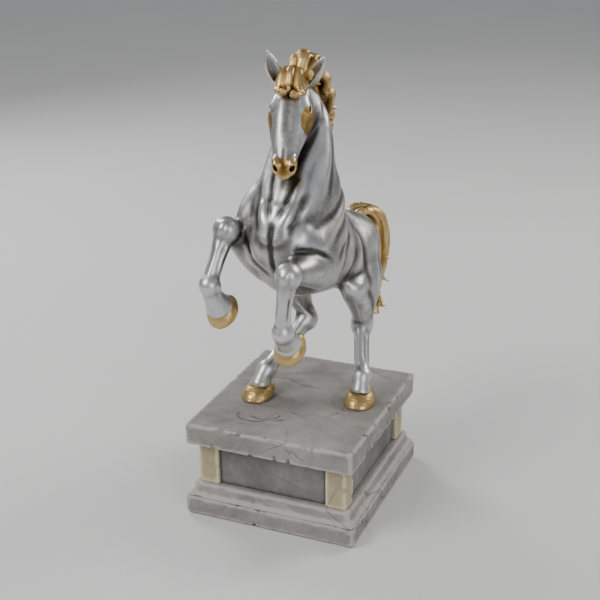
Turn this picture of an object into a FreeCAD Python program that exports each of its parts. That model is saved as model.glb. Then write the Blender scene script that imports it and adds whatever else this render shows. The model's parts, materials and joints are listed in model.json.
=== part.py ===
"""A rearing horse statuette on a square stone plinth.

The horse is an assembly of castings: a torso, neck and head, four legs, ears, tail, mane, forelock and
hooves, joined by dowels. Torso and neck are hollow. Two threaded studs run down from the hind legs through
the hooves and the plinth's cap, with washers and nuts below it. The plinth is a cap, four panels between
four corner posts, a moulding and a slab, clamped by four tie rods, with a felt underneath.

Millimetres, +Z up, origin at the centre of the plinth's underside. The horse faces -Y, and +X is its left.
Points of the horse are given from the centre of the plinth's top, and lift() places them.
"""
import FreeCAD
import Part
import math
import os

V = FreeCAD.Vector

# Driving dimensions of the plinth.
CAP_WIDTH = 150.0
CAP_DEPTH = 164.0
CAP_HEIGHT = 19.0
SLAB_WIDTH = 154.0
SLAB_DEPTH = 166.0
SLAB_HEIGHT = 16.0
MOULDING_HEIGHT = 12.0
MOULDING_INSET = 3.0
MOULDING_STEP = 3.0
DIE_HEIGHT = 38.5
POST_INSET = 8.0
POST_SIZE = 18.0
PANEL_RECESS = 3.0
PANEL_THICKNESS = 8.0
FELT_THICKNESS = 1.0
FELT_INSET = 2.0
EDGE_RADIUS = 1.5

# Heights of the plinth's levels, from the floor up.
SLAB_BOTTOM = FELT_THICKNESS
SLAB_TOP = SLAB_BOTTOM + SLAB_HEIGHT
MOULDING_TOP = SLAB_TOP + MOULDING_HEIGHT
CAP_BOTTOM = MOULDING_TOP + DIE_HEIGHT
PLINTH_TOP = CAP_BOTTOM + CAP_HEIGHT

# Centres of the corner posts, and of the tie rods inside them.
POST_X = CAP_WIDTH / 2 - POST_INSET - POST_SIZE / 2
POST_Y = CAP_DEPTH / 2 - POST_INSET - POST_SIZE / 2

# Fasteners. A hole is a little wider than what passes through it.
CLEARANCE = 0.15
ROD_RADIUS = 2.5
ROD_IN_CAP = 12.0
WASHER_RADIUS = 6.5
WASHER_THICKNESS = 1.2
NUT_RADIUS = 5.2
NUT_THICKNESS = 4.5
COUNTERBORE_RADIUS = 7.5
COUNTERBORE_DEPTH = 9.0
STUD_RADIUS = 2.5
STUD_IN_LEG = 8.0
STUD_TAIL = 9.0
STUD_WASHER_RADIUS = 9.0
ACCESS_RADIUS = 11.0
PLUG_RADIUS = 14.0
PLUG_THICKNESS = 3.0
DOWEL_RADIUS = 2.5
DOWEL_LENGTH = 16.0
PIN_RADIUS = 1.0
PIN_LENGTH = 8.0

# Castings.
WALL = 5.0
SOLID_AT_SEAM = 10.0
RING_POINTS = 12
REACH = 600.0


def lift(x, y, z):
    """A point given from the centre of the plinth's top."""
    return V(x, y, z + PLINTH_TOP)


# ---------------------------------------------------------------- proportions of the horse

# Torso, from the buttocks to the breast: back y, z; belly y, z; half width; taper towards the back.
TORSO = [
    (120, 112, 112, 98, 8, 0.0),
    (119, 124, 100, 86, 20, 0.05),
    (112, 135, 84, 80, 29, 0.08),
    (98, 145, 64, 84, 34, 0.08),
    (80, 153, 42, 90, 35.5, 0.08),
    (63, 162, 17, 97, 36, 0.1),
    (50, 174, -8, 104, 37, 0.14),
    (41, 187, -31, 112, 37.5, 0.18),
    (28, 198, -48, 123, 36.5, 0.18),
    (2, 202, -59, 137, 31, 0.1),
    (-26, 197, -65, 151, 22, 0.0),
    (-48, 184, -67, 164, 10, 0.0),
]
# Neck, from inside the torso to inside the head: crest y, z; throat y, z; half width; taper to the crest.
NECK = [
    (36, 186, -46, 160, 27, 0.1),
    (37, 203, -57, 180, 28, 0.2),
    (38, 221, -47, 196, 24.5, 0.25),
    (35, 240, -32, 212, 21, 0.25),
    (28, 258, -17, 228, 18, 0.25),
    (17, 273, -6, 242, 15, 0.2),
    (6, 281, -8, 252, 12, 0.1),
]
# The head has its own frame: along the nose from the poll, to the left, and out of the brow.
POLL = (0.0, -4.0, 281.0)
HEAD_PITCH = math.radians(43.0)
HEAD_YAW = math.radians(11.0)
HEAD_AXIS = V(
    math.sin(HEAD_YAW) * math.sin(HEAD_PITCH),
    -math.cos(HEAD_YAW) * math.sin(HEAD_PITCH),
    -math.cos(HEAD_PITCH),
)
HEAD_SIDE = V(math.cos(HEAD_YAW), math.sin(HEAD_YAW), 0)
HEAD_FACE = HEAD_AXIS.cross(HEAD_SIDE)
# Its sections: distance along, brow height, jaw height, half width, taper towards the brow.
HEAD = [
    (-7, -5, -20, 7, 0.0),
    (-2, 0, -30, 12, 0.05),
    (7, 3, -36, 15, 0.1),
    (18, 4.5, -38, 16.5, 0.08),
    (29, 4, -35, 16, 0.08),
    (40, 2.5, -27, 13, 0.0),
    (51, 1, -21, 10.5, -0.05),
    (62, 0, -18.5, 9, -0.05),
    (71, -1, -19, 9.8, 0.0),
    (77, -4, -17.5, 8.8, 0.0),
    (80, -8, -14, 5, 0.0),
]
EYE = (20.0, 13.6, -5.0, 3.4)
FORELOCK = [
    (-9, 6, 6, 4.0),
    (-2, 8, 9, 5.0),
    (7, 9, 10, 4.5),
    (16, 8.5, 8, 3.5),
    (23, 7.0, 4, 1.8),
]
EAR_TIPS = {"left_ear": (24.5, -8, 301), "right_ear": (-23.5, -11, 304)}
EAR_ROOT = (1.0, 9.0, -7.0)
# An ear's sections: share of its length, half width, half thickness.
EAR = [(0, 5.0, 5.0), (0.3, 6.2, 5.0), (0.6, 5.2, 3.8), (0.85, 2.9, 2.2), (1, 0.6, 0.6)]

# Limbs are centre lines with x, y, z, half width, half depth. Joints are balls with x, y, z, radius.
FOREARMS = {
    "right_foreleg": [
        (-25, 2, 118, 10, 14),
        (-28, -10, 128, 13, 18),
        (-32, -25, 141, 12.5, 16.5),
        (-36, -40, 155, 10.5, 12.5),
        (-39, -52, 165, 9.5, 10),
        (-40, -57, 169, 8, 8),
    ],
    "left_foreleg": [
        (22, -2, 128, 10, 14),
        (27, -14, 131, 13, 18),
        (29, -32, 136, 13, 17),
        (27, -52, 141, 11, 13),
        (24, -70, 145, 9.5, 10.5),
        (23, -78, 147, 8, 8),
    ],
}
# Thighs, from the croup to the hock: front y, z; rear y, z; half width; middle x of the left and right.
THIGHS = [
    (72, 146, 106, 132, 10, 15, -15),
    (52, 132, 110, 116, 15, 22, -22),
    (32, 118, 107, 100, 16, 27, -27),
    (20, 104, 97, 87, 15.5, 31, -31),
    (22, 90, 86, 77, 13.5, 33, -32),
    (31, 78, 77, 67, 11.5, 34, -29),
    (39, 68, 70, 60, 9.5, 34.5, -24),
    (44, 60, 65, 54, 8, 34.5, -19),
    (45, 54, 61, 49, 7.5, 34.5, -17.5),
]
SHANKS = {
    "right_foreleg": [
        [(-40.5, -61, 169, 8, 8), (-41.5, -66, 159, 8, 8.2), (-42.5, -71, 150, 6.4, 7)]
        + [(-44, -78, 139, 6.4, 7), (-45, -83, 131, 7, 7)],
        [(-45, -83, 129, 7, 7), (-45.5, -80, 119, 7.5, 7.5), (-46, -75, 111.5, 9, 9)],
    ],
    "left_foreleg": [
        [(22.5, -82, 146, 8, 8), (21, -84, 136, 8, 8.2), (19, -84.5, 126, 6.4, 7)]
        + [(16.5, -85, 110, 6.4, 7), (15.2, -85, 101, 7, 7)],
        [(15, -84, 98, 7, 7), (15, -79, 89, 7.5, 7.5), (15.3, -73, 82, 9, 9)],
    ],
    "left_hind_leg": [
        [(34, 54, 55, 7.5, 8.5), (36.5, 47, 47, 6.8, 8), (40, 38, 38, 6.2, 7.2)]
        + [(44, 27, 28, 6.4, 7.2), (46.5, 20, 21.5, 7, 7)],
        [(47, 18, 21, 7, 7), (48, 14.5, 16, 8, 8), (48.3, 12.5, 12.5, 9, 9.3)],
    ],
    "right_hind_leg": [
        [(-17.5, 50, 54, 7.5, 8.5), (-21, 39, 45.5, 6.8, 8), (-26, 27, 37, 6.2, 7.2)]
        + [(-32, 12, 27, 6.4, 7.2), (-35.5, 3, 21.5, 7, 7)],
        [(-36, 1, 21, 7, 7), (-37.5, -4, 16, 8, 8), (-38.2, -7.5, 12.5, 9, 9.3)],
    ],
}
JOINTS = {
    "right_foreleg": [(-40.5, -59, 170, 10.3), (-45, -83.5, 130.5, 8.3)],
    "left_foreleg": [(22.5, -81, 147, 10.3), (15, -85, 99.5, 8.3)],
    "left_hind_leg": [(34, 53, 54, 9.3), (47, 18.5, 21, 8.4)],
    "right_hind_leg": [(-17.5, 50, 52, 9.3), (-36, 1.5, 21, 8.4)],
}
# Where each leg's casting is joined to the torso's: a point of the seam, and its normal, down the limb.
LEG_SEAMS = {
    "right_foreleg": ((-33, -29, 145), (-0.19, -0.73, 0.66)),
    "left_foreleg": ((28.5, -38, 137.5), (-0.05, -0.97, 0.22)),
    "left_hind_leg": ((33, 54, 82), (0, -0.2, -0.98)),
    "right_hind_leg": ((-32, 54, 82), (0, -0.2, -0.98)),
}
LEG_SEAM_REACH = 62.0
NECK_SEAM = ((0, -9, 192), (0, -0.25, 0.97))
HEAD_SEAM = ((0, 5.5, 257.5), (0, -0.80, 0.60))
HEAD_SEAM_REACH = 30.0

# Hooves: half width and half length of the sole, then each hoof's coronet centre, sole centre and toe.
HOOF_HALF_WIDTH = 13.0
HOOF_HALF_LENGTH = 14.0
HOOVES = {
    "left_hind_hoof": ((48.5, 12, 12.5), (49, 8, 0), (0.1, -1, 0)),
    "right_hind_hoof": ((-38.5, -8, 12.5), (-39, -12, 0), (-0.15, -1, 0)),
    "left_fore_hoof": ((15.3, -74, 83), (16, -67, 73), (0, -0.79, -0.61)),
    "right_fore_hoof": ((-46, -75, 111.5), (-45.3, -66, 102), (0, -0.71, -0.70)),
}
HOOF_LEGS = {
    "left_hind_hoof": "left_hind_leg",
    "right_hind_hoof": "right_hind_leg",
    "left_fore_hoof": "left_foreleg",
    "right_fore_hoof": "right_foreleg",
}

TAIL = [
    (0, 108, 124, 6, 6),
    (2, 115, 133, 8, 7),
    (8, 125, 137, 9, 8),
    (15, 131, 131, 10, 8.5),
    (20, 133, 118, 10.5, 9),
    (22, 131, 101, 10.5, 9),
    (22, 127, 84, 10, 8.5),
    (21, 121, 66, 9, 8),
    (21, 115, 52, 7.5, 7),
    (24, 110, 40, 4, 4),
]
# Mane, from the poll to the withers: outer y, z; inner y, z; half width; taper outwards.
MANE = [
    (-3, 300, -2, 279, 8, 0.2),
    (10, 302, 3, 279, 12, 0.2),
    (24, 289, 14, 271, 13, 0.2),
    (34, 271, 24, 257, 11, 0.2),
    (42, 252, 31, 240, 10, 0.2),
    (46, 234, 35, 222, 8.5, 0.2),
    (45, 217, 34, 206, 7, 0.2),
    (42, 204, 33, 198, 3, 0.0),
]
MANE_MIDDLE = 3.0


# ---------------------------------------------------------------- ways of making a shape


def ring(middle, side, depth, half_width, half_depth, taper=0.0):
    """A smooth closed section, with side and depth as its unit axes. taper narrows it towards +depth."""
    points = []
    for k in range(RING_POINTS):
        angle = 2 * math.pi * k / RING_POINTS
        across = half_width * math.cos(angle) * (1 - taper * math.sin(angle))
        points.append(middle + side * across + depth * (half_depth * math.sin(angle)))
    curve = Part.BSplineCurve()
    curve.interpolate(points, PeriodicFlag=True)
    return Part.Wire(curve.toShape())


def loft(rings):
    return Part.makeLoft(rings, True, False)


def profile_loft(stations, inset=0.0, middle_x=0.0):
    """A loft of sections that each run from a point of one outline to a point of the other."""
    rings = []
    for y1, z1, y2, z2, half_width, taper in stations:
        outer = lift(middle_x, y1, z1)
        inner = lift(middle_x, y2, z2)
        half_depth = outer.distanceToPoint(inner) / 2 - inset
        depth = (outer - inner).normalize()
        rings.append(ring((outer + inner) / 2, V(1, 0, 0), depth, half_width - inset, half_depth, taper))
    return loft(rings)


def limb(stations):
    """A loft along a centre line, with each section square to it."""
    centres = [lift(x, y, z) for x, y, z, half_width, half_depth in stations]
    rings = []
    for k, (x, y, z, half_width, half_depth) in enumerate(stations):
        along = (centres[min(k + 1, len(centres) - 1)] - centres[max(k - 1, 0)]).normalize()
        depth = V(1, 0, 0).cross(along).normalize()
        side = along.cross(depth).normalize()
        rings.append(ring(centres[k], side, depth, half_width, half_depth))
    return loft(rings)


def ball(x, y, z, radius):
    return Part.makeSphere(radius, lift(x, y, z))


def rod(start, end, radius):
    return Part.makeCylinder(radius, (end - start).Length, start, end - start)


def pin(middle, direction, length, radius):
    """A round pin with its middle at a seam."""
    half = V(direction).normalize() * (length / 2)
    return rod(middle - half, middle + half, radius)


def block_beyond(point, normal, reach=REACH):
    """A large block on the side of a plane that its normal points to, reaching sideways by reach."""
    block = Part.makeBox(2 * reach, 2 * reach, REACH, V(-reach, -reach, 0))
    block.Placement = FreeCAD.Placement(point, FreeCAD.Rotation(V(0, 0, 1), V(*normal)))
    return block


def fused(shapes):
    whole = shapes[0]
    for shape in shapes[1:]:
        whole = whole.fuse(shape)
    return biggest(whole)


def biggest(shape):
    """The largest solid of a shape, without the crumbs that a cut may leave."""
    return max(shape.Solids, key=lambda solid: solid.Volume)


def in_head(along, side, face):
    return lift(*POLL) + HEAD_AXIS * along + HEAD_SIDE * side + HEAD_FACE * face


def cut_by(shape, *tools):
    for tool in tools:
        shape = shape.cut(tool)
    return biggest(shape)


# ---------------------------------------------------------------- the horse's castings


def thigh(name):
    rings = []
    for y1, z1, y2, z2, half_width, left_x, right_x in THIGHS:
        middle_x = left_x if name.startswith("left") else right_x
        front = lift(middle_x, y1, z1)
        rear = lift(middle_x, y2, z2)
        depth = (rear - front).normalize()
        half_depth = front.distanceToPoint(rear) / 2
        rings.append(ring((front + rear) / 2, V(1, 0, 0), depth, half_width, half_depth))
    return loft(rings)


def leg_parts(name):
    """A leg's upper end, which belongs to the torso's casting, and the rest, which is its own casting."""
    upper = limb(FOREARMS[name]) if name in FOREARMS else thigh(name)
    point, normal = LEG_SEAMS[name]
    block = block_beyond(lift(*point), normal, LEG_SEAM_REACH)
    lower = [upper.common(block)]
    lower += [limb(shank) for shank in SHANKS[name]]
    lower += [ball(*joint) for joint in JOINTS[name]]
    return biggest(upper.cut(block)), fused(lower)


def head_casting():
    rings = []
    for along, brow, jaw, half_width, taper in HEAD:
        middle = in_head(along, 0, (brow + jaw) / 2)
        rings.append(ring(middle, HEAD_SIDE, HEAD_FACE, half_width, (brow - jaw) / 2, taper))
    return loft(rings)


def forelock_casting():
    rings = []
    for along, face, half_width, half_depth in FORELOCK:
        rings.append(ring(in_head(along, 0, face), HEAD_SIDE, HEAD_FACE, half_width, half_depth))
    return loft(rings)


def ear_casting(name):
    tip = lift(*EAR_TIPS[name])
    root = ear_root(name)
    along = (tip - root).normalize()
    depth = along.cross(HEAD_SIDE).normalize()
    across = depth.cross(along).normalize()
    length = tip.distanceToPoint(root)
    return loft([ring(root + along * (length * t), across, depth, a, b) for t, a, b in EAR])


def ear_root(name):
    along, side, face = EAR_ROOT
    return in_head(along, side if name == "left_ear" else -side, face)


def hoof_casting(name, leg):
    """A hoof's wall from the coronet band to the sole, cut to fit round the leg."""
    coronet, sole, toe = HOOVES[name]
    coronet = lift(*coronet)
    sole = lift(*sole)
    toe = V(*toe).normalize()
    if name.endswith("hind_hoof"):
        down = V(0, 0, -1)
    else:
        down = (sole - coronet).normalize()
        toe = (toe - down * toe.dot(down)).normalize()
    side = toe.cross(down).normalize()
    rings = [
        ring(coronet - down * 2.0, side, toe, HOOF_HALF_WIDTH * 0.7, HOOF_HALF_LENGTH * 0.69),
        ring((coronet + sole) / 2, side, toe, HOOF_HALF_WIDTH * 0.87, HOOF_HALF_LENGTH * 0.85),
        ring(sole, side, toe, HOOF_HALF_WIDTH, HOOF_HALF_LENGTH),
    ]
    return cut_by(loft(rings), leg)


def make_horse():
    nodes = {}
    trunk = profile_loft(TORSO)
    neck_whole = profile_loft(NECK)
    neck_point = lift(*NECK_SEAM[0])
    neck_block = block_beyond(neck_point, NECK_SEAM[1])
    head_block = block_beyond(lift(*HEAD_SEAM[0]), HEAD_SEAM[1], HEAD_SEAM_REACH)
    front = fused([trunk, neck_whole])

    head = fused([head_casting(), neck_whole.common(head_block)])
    neck = cut_by(front.common(neck_block), head_block, head)
    neck_up = V(*NECK_SEAM[1]).normalize()
    above_seam = block_beyond(neck_point + neck_up * SOLID_AT_SEAM, neck_up)
    below_seam = block_beyond(neck_point - neck_up * SOLID_AT_SEAM, neck_up * -1)
    neck_hollow = biggest(profile_loft(NECK[:-1], WALL).common(above_seam))
    neck = cut_by(neck, neck_hollow)

    torso = [biggest(front.cut(neck_block))]
    for name in SHANKS:
        upper, lower = leg_parts(name)
        torso.append(upper)
        nodes[name] = lower
    torso = fused(torso)
    for name in SHANKS:
        nodes[name] = cut_by(nodes[name], torso)
    torso_hollow = biggest(profile_loft(TORSO[1:-2], WALL).common(below_seam))
    torso = cut_by(torso, torso_hollow)

    nodes["tail"] = cut_by(limb(TAIL), torso)
    mane = cut_by(profile_loft(MANE, 0.0, MANE_MIDDLE), torso, neck, head)
    for name in EAR_TIPS:
        nodes[name] = cut_by(ear_casting(name), head, mane)
    nodes["forelock"] = cut_by(forelock_casting(), head, mane, nodes["left_ear"], nodes["right_ear"])
    along, side, face, radius = EYE
    for name, sign in (("left_eye", 1), ("right_eye", -1)):
        nodes[name] = Part.makeSphere(radius, in_head(along, sign * side, face))
        head = cut_by(head, nodes[name])
    for name, leg in HOOF_LEGS.items():
        nodes[name] = hoof_casting(name, nodes[leg])
    nodes.update(torso=torso, neck=neck, head=head, mane=mane)
    return nodes


# ---------------------------------------------------------------- the plinth


def rounded_box(width, depth, low, high, radius=EDGE_RADIUS):
    box = Part.makeBox(width, depth, high - low, V(-width / 2, -depth / 2, low))
    return box.makeFillet(radius, box.Edges)


def moulding_side(half_low, half_high, length, along_x):
    """A prism with the moulding's profile on both its long sides: a step, then a hollow and a round."""
    rise = MOULDING_HEIGHT - MOULDING_STEP
    mid_half = (half_low - 1 + half_high) / 2
    mid_z = SLAB_TOP + MOULDING_STEP + rise / 2

    def at(half, z):
        return V(0, half, z) if along_x else V(half, 0, z)

    def bow(start, end, bulge):
        middle = (start + end) / 2
        out = (end - start).cross(V(1, 0, 0) if along_x else V(0, 1, 0)).normalize()
        return Part.Arc(start, middle + out * bulge, end).toShape()

    edges = []
    for sign in (1, -1):
        low = at(sign * half_low, SLAB_TOP)
        step = at(sign * half_low, SLAB_TOP + MOULDING_STEP)
        ledge = at(sign * (half_low - 1), SLAB_TOP + MOULDING_STEP)
        middle = at(sign * mid_half, mid_z)
        high = at(sign * half_high, MOULDING_TOP)
        turn = sign if along_x else -sign
        edges += [
            Part.LineSegment(low, step).toShape(),
            Part.LineSegment(step, ledge).toShape(),
            bow(ledge, middle, 0.8 * turn),
            bow(middle, high, -0.8 * turn),
        ]
    edges.append(Part.LineSegment(at(half_low, SLAB_TOP), at(-half_low, SLAB_TOP)).toShape())
    edges.append(Part.LineSegment(at(half_high, MOULDING_TOP), at(-half_high, MOULDING_TOP)).toShape())
    face = Part.Face(Part.Wire(Part.__sortEdges__(edges)))
    sweep = V(length, 0, 0) if along_x else V(0, length, 0)
    face.translate(sweep * -0.5)
    return face.extrude(sweep)


def make_plinth():
    nodes = {}
    cap = rounded_box(CAP_WIDTH, CAP_DEPTH, CAP_BOTTOM, PLINTH_TOP)
    slab = rounded_box(SLAB_WIDTH, SLAB_DEPTH, SLAB_BOTTOM, SLAB_TOP)
    half_x = POST_X + POST_SIZE / 2
    half_y = POST_Y + POST_SIZE / 2
    moulding = biggest(
        moulding_side(SLAB_DEPTH / 2 - MOULDING_INSET, half_y + 1, SLAB_WIDTH * 2, True).common(
            moulding_side(SLAB_WIDTH / 2 - MOULDING_INSET, half_x + 1, SLAB_DEPTH * 2, False)
        )
    )
    felt = Part.makeBox(
        SLAB_WIDTH - 2 * FELT_INSET,
        SLAB_DEPTH - 2 * FELT_INSET,
        FELT_THICKNESS,
        V(FELT_INSET - SLAB_WIDTH / 2, FELT_INSET - SLAB_DEPTH / 2, 0),
    )

    rods, washers, nuts = [], [], []
    seat = SLAB_BOTTOM + COUNTERBORE_DEPTH
    for x_name, x in (("left", POST_X), ("right", -POST_X)):
        for y_name, y in (("front", -POST_Y), ("back", POST_Y)):
            corner = V(x - POST_SIZE / 2, y - POST_SIZE / 2, MOULDING_TOP)
            post = Part.makeBox(POST_SIZE, POST_SIZE, DIE_HEIGHT, corner)
            post = post.makeFillet(EDGE_RADIUS, [e for e in post.Edges if abs(e.tangentAt(0).z) > 0.9])
            foot = V(x, y, SLAB_BOTTOM + 2)
            head = V(x, y, CAP_BOTTOM + ROD_IN_CAP)
            hole = rod(foot, head, ROD_RADIUS + CLEARANCE)
            counterbore = rod(V(x, y, SLAB_BOTTOM), V(x, y, seat), COUNTERBORE_RADIUS)
            nodes["post_%s_%s" % (y_name, x_name)] = post.cut(hole)
            cap = cap.cut(hole)
            moulding = moulding.cut(hole)
            slab = slab.cut(hole).cut(counterbore)
            rods.append(rod(foot, head, ROD_RADIUS))
            washer = rod(V(x, y, seat - WASHER_THICKNESS), V(x, y, seat), WASHER_RADIUS)
            washers.append(washer.cut(hole))
            nuts.append(hex_nut(x, y, seat - WASHER_THICKNESS - NUT_THICKNESS, ROD_RADIUS))

    gap_x = POST_X - POST_SIZE / 2
    gap_y = POST_Y - POST_SIZE / 2
    for name, sign in (("front", -1), ("back", 1)):
        middle = sign * (half_y - PANEL_RECESS - PANEL_THICKNESS / 2)
        corner = V(-gap_x, middle - PANEL_THICKNESS / 2, MOULDING_TOP)
        nodes["panel_" + name] = Part.makeBox(2 * gap_x, PANEL_THICKNESS, DIE_HEIGHT, corner)
    for name, sign in (("right", -1), ("left", 1)):
        middle = sign * (half_x - PANEL_RECESS - PANEL_THICKNESS / 2)
        corner = V(middle - PANEL_THICKNESS / 2, -gap_y, MOULDING_TOP)
        nodes["panel_" + name] = Part.makeBox(PANEL_THICKNESS, 2 * gap_y, DIE_HEIGHT, corner)

    nodes.update(cap=cap, moulding=moulding, slab=slab, felt_pad=felt)
    nodes.update(tie_rods=rods, tie_rod_washers=washers, tie_rod_nuts=nuts)
    return nodes


def hex_nut(x, y, low, bore):
    """A plain six-sided nut with its underside at a height."""
    corners = []
    for k in range(7):
        angle = math.pi * k / 3
        corners.append(V(x + NUT_RADIUS * math.cos(angle), y + NUT_RADIUS * math.sin(angle), low))
    body = Part.Face(Part.makePolygon(corners)).extrude(V(0, 0, NUT_THICKNESS))
    return body.cut(rod(V(x, y, low - 1), V(x, y, low + NUT_THICKNESS + 1), bore))


# ---------------------------------------------------------------- what holds it together


def peg(nodes, pegs, first, second, middle, direction, length=DOWEL_LENGTH, radius=DOWEL_RADIUS):
    """Adds a peg across a seam, and its holes in the two castings."""
    new_peg = pin(middle, direction, length, radius)
    for name in (first, second):
        nodes[name] = biggest(nodes[name].cut(new_peg))
    pegs.append(new_peg)


def add_pegs(nodes):
    leg_dowels, neck_dowels, small_pins = [], [], []
    for name, (point, normal) in LEG_SEAMS.items():
        peg(nodes, leg_dowels, "torso", name, lift(*point), normal)
    for along_seam in (-34, 30):
        tilt = V(0, NECK_SEAM[1][2], -NECK_SEAM[1][1]).normalize()
        middle = lift(*NECK_SEAM[0]) + tilt * along_seam
        peg(nodes, neck_dowels, "torso", "neck", middle, NECK_SEAM[1])
    nodes["neck_dowels"] = neck_dowels
    nodes["leg_dowels"] = leg_dowels

    head_dowel, tail_dowel, mane_pins, ear_pins, hoof_dowels = [], [], [], [], []
    peg(nodes, head_dowel, "neck", "head", lift(*HEAD_SEAM[0]), HEAD_SEAM[1], PIN_LENGTH * 1.5)
    nodes["head_dowel"] = head_dowel
    peg(nodes, tail_dowel, "torso", "tail", lift(1.5, 115, 130), (0.2, 0.8, 0.56), PIN_LENGTH * 1.5)
    nodes["tail_dowel"] = tail_dowel
    for y, z in ((18, 268), (36, 234)):
        peg(nodes, mane_pins, "mane", "neck", lift(MANE_MIDDLE, y, z), (0, 0.8, 0.6), PIN_LENGTH, PIN_RADIUS)
    nodes["mane_pins"] = mane_pins
    for name in EAR_TIPS:
        root = ear_root(name)
        direction = lift(*EAR_TIPS[name]) - root
        middle = root + V(direction).normalize() * 7
        peg(nodes, ear_pins, "head", name, middle, direction, PIN_LENGTH * 1.5, PIN_RADIUS)
    nodes["ear_pins"] = ear_pins
    peg(nodes, small_pins, "head", "forelock", in_head(10, 0, 4), HEAD_FACE, PIN_LENGTH, PIN_RADIUS)
    nodes["forelock_pin"] = small_pins
    for name in ("left_fore_hoof", "right_fore_hoof"):
        coronet, sole, toe = HOOVES[name]
        direction = V(*sole) - V(*coronet)
        middle = lift(*coronet) + V(direction).normalize() * 1.0
        peg(nodes, hoof_dowels, HOOF_LEGS[name], name, middle, direction, PIN_LENGTH * 1.5, DOWEL_RADIUS)
    nodes["fore_hoof_dowels"] = hoof_dowels


def add_studs(nodes):
    """Two studs hold the hind legs down to the cap, with nuts that are reached through the slab."""
    studs, washers, nuts, plugs = [], [], [], []
    for name in ("left_hind_hoof", "right_hind_hoof"):
        x, y, z = HOOVES[name][0]
        y += 1.0
        top = lift(x, y, z + STUD_IN_LEG)
        end = V(x, y, CAP_BOTTOM - STUD_TAIL)
        stud = rod(end, top, STUD_RADIUS)
        hole = rod(end, top, STUD_RADIUS + CLEARANCE)
        nodes[name] = cut_by(nodes[name], stud)
        nodes[HOOF_LEGS[name]] = cut_by(nodes[HOOF_LEGS[name]], stud)
        nodes["cap"] = nodes["cap"].cut(hole)
        washer = rod(V(x, y, CAP_BOTTOM - WASHER_THICKNESS), V(x, y, CAP_BOTTOM), STUD_WASHER_RADIUS)
        washers.append(washer.cut(hole))
        nuts.append(hex_nut(x, y, CAP_BOTTOM - WASHER_THICKNESS - NUT_THICKNESS, STUD_RADIUS))
        studs.append(stud)
        access = rod(V(x, y, SLAB_BOTTOM), V(x, y, MOULDING_TOP), ACCESS_RADIUS)
        plug = rod(V(x, y, SLAB_BOTTOM), V(x, y, SLAB_BOTTOM + PLUG_THICKNESS), PLUG_RADIUS)
        nodes["moulding"] = nodes["moulding"].cut(access)
        nodes["slab"] = nodes["slab"].cut(access).cut(plug)
        plugs.append(plug)
    nodes["hind_studs"] = studs
    nodes["stud_washers"] = washers
    nodes["stud_nuts"] = nuts
    nodes["access_plugs"] = plugs


def main():
    os.makedirs("parts", exist_ok=True)
    nodes = make_horse()
    nodes.update(make_plinth())
    add_pegs(nodes)
    add_studs(nodes)
    for name, shape in nodes.items():
        if isinstance(shape, list):
            shape = Part.makeCompound(shape)
        print(name, len(shape.Solids), shape.isValid(), round(shape.Volume))
        shape.exportStep("parts/%s.step" % name)


main()
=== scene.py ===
"""The looks of a rearing horse statuette on a stone plinth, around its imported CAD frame.

The horse is sculpted as a field of signed distances on a grid, which is meshed and cut into its castings.
Sculpting is in millimetres from the centre of the plinth's top: +X is the horse's left, and it faces -Y.
"""
import bpy
import bmesh
import json
import math
import numpy as np
import openvdb
from mathutils import Matrix, Vector


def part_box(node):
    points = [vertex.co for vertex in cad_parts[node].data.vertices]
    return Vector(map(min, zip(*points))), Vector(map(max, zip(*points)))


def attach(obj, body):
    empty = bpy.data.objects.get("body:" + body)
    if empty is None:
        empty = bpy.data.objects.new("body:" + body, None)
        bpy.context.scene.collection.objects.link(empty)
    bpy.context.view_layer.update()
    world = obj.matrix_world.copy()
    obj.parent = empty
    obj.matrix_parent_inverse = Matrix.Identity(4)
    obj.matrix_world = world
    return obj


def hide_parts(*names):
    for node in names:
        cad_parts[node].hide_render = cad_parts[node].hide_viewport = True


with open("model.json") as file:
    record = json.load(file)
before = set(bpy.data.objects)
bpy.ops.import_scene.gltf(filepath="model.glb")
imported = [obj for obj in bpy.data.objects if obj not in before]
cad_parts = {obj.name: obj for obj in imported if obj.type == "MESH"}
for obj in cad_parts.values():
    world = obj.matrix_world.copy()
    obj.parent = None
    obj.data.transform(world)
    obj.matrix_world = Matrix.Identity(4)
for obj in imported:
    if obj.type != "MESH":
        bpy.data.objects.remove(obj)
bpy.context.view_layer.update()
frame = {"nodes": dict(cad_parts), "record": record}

# Metres in a millimetre.
MM = 0.001
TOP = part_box("cap")[1][2]
CAP_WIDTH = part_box("cap")[1][0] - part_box("cap")[0][0]
CAP_WIDTH_MM = CAP_WIDTH / MM
CAP_DEPTH = (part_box("cap")[1][1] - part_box("cap")[0][1]) / MM
# The distance that empty space holds, in millimetres.
FAR = 30.0
COARSE = 1.0
SKIN_STEP = 2.0
SKIN_LOW = (-70, -110, -5)
SKIN_HIGH = (70, 135, 310)
RAY_LENGTH = 140.0
RAY_STEP = 0.5
# The horse's left and right.
SIDES = (1, -1)
# Sculpted forms are softened by this much before their folds are carved.
SOFTENING = 0.8
# A part with fewer points is a scrap.
SMALLEST_PART = 50


# ---------------------------------------------------------------- sculpting in a grid of distances


def unit(vector):
    """A vector's direction, one long."""
    vector = np.asarray(vector, float)
    return vector / max(np.linalg.norm(vector), 1e-9)


def smooth_union(a, b, soft):
    """Two solids as one, with a fillet about soft wide."""
    if soft <= 0:
        return np.minimum(a, b)
    near = np.maximum(soft - np.abs(a - b), 0) / soft
    return np.minimum(a, b) - near * near * soft * 0.25


def smooth_join(a, b, soft):
    """What two solids have in common."""
    return -smooth_union(-a, -b, soft)


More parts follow.
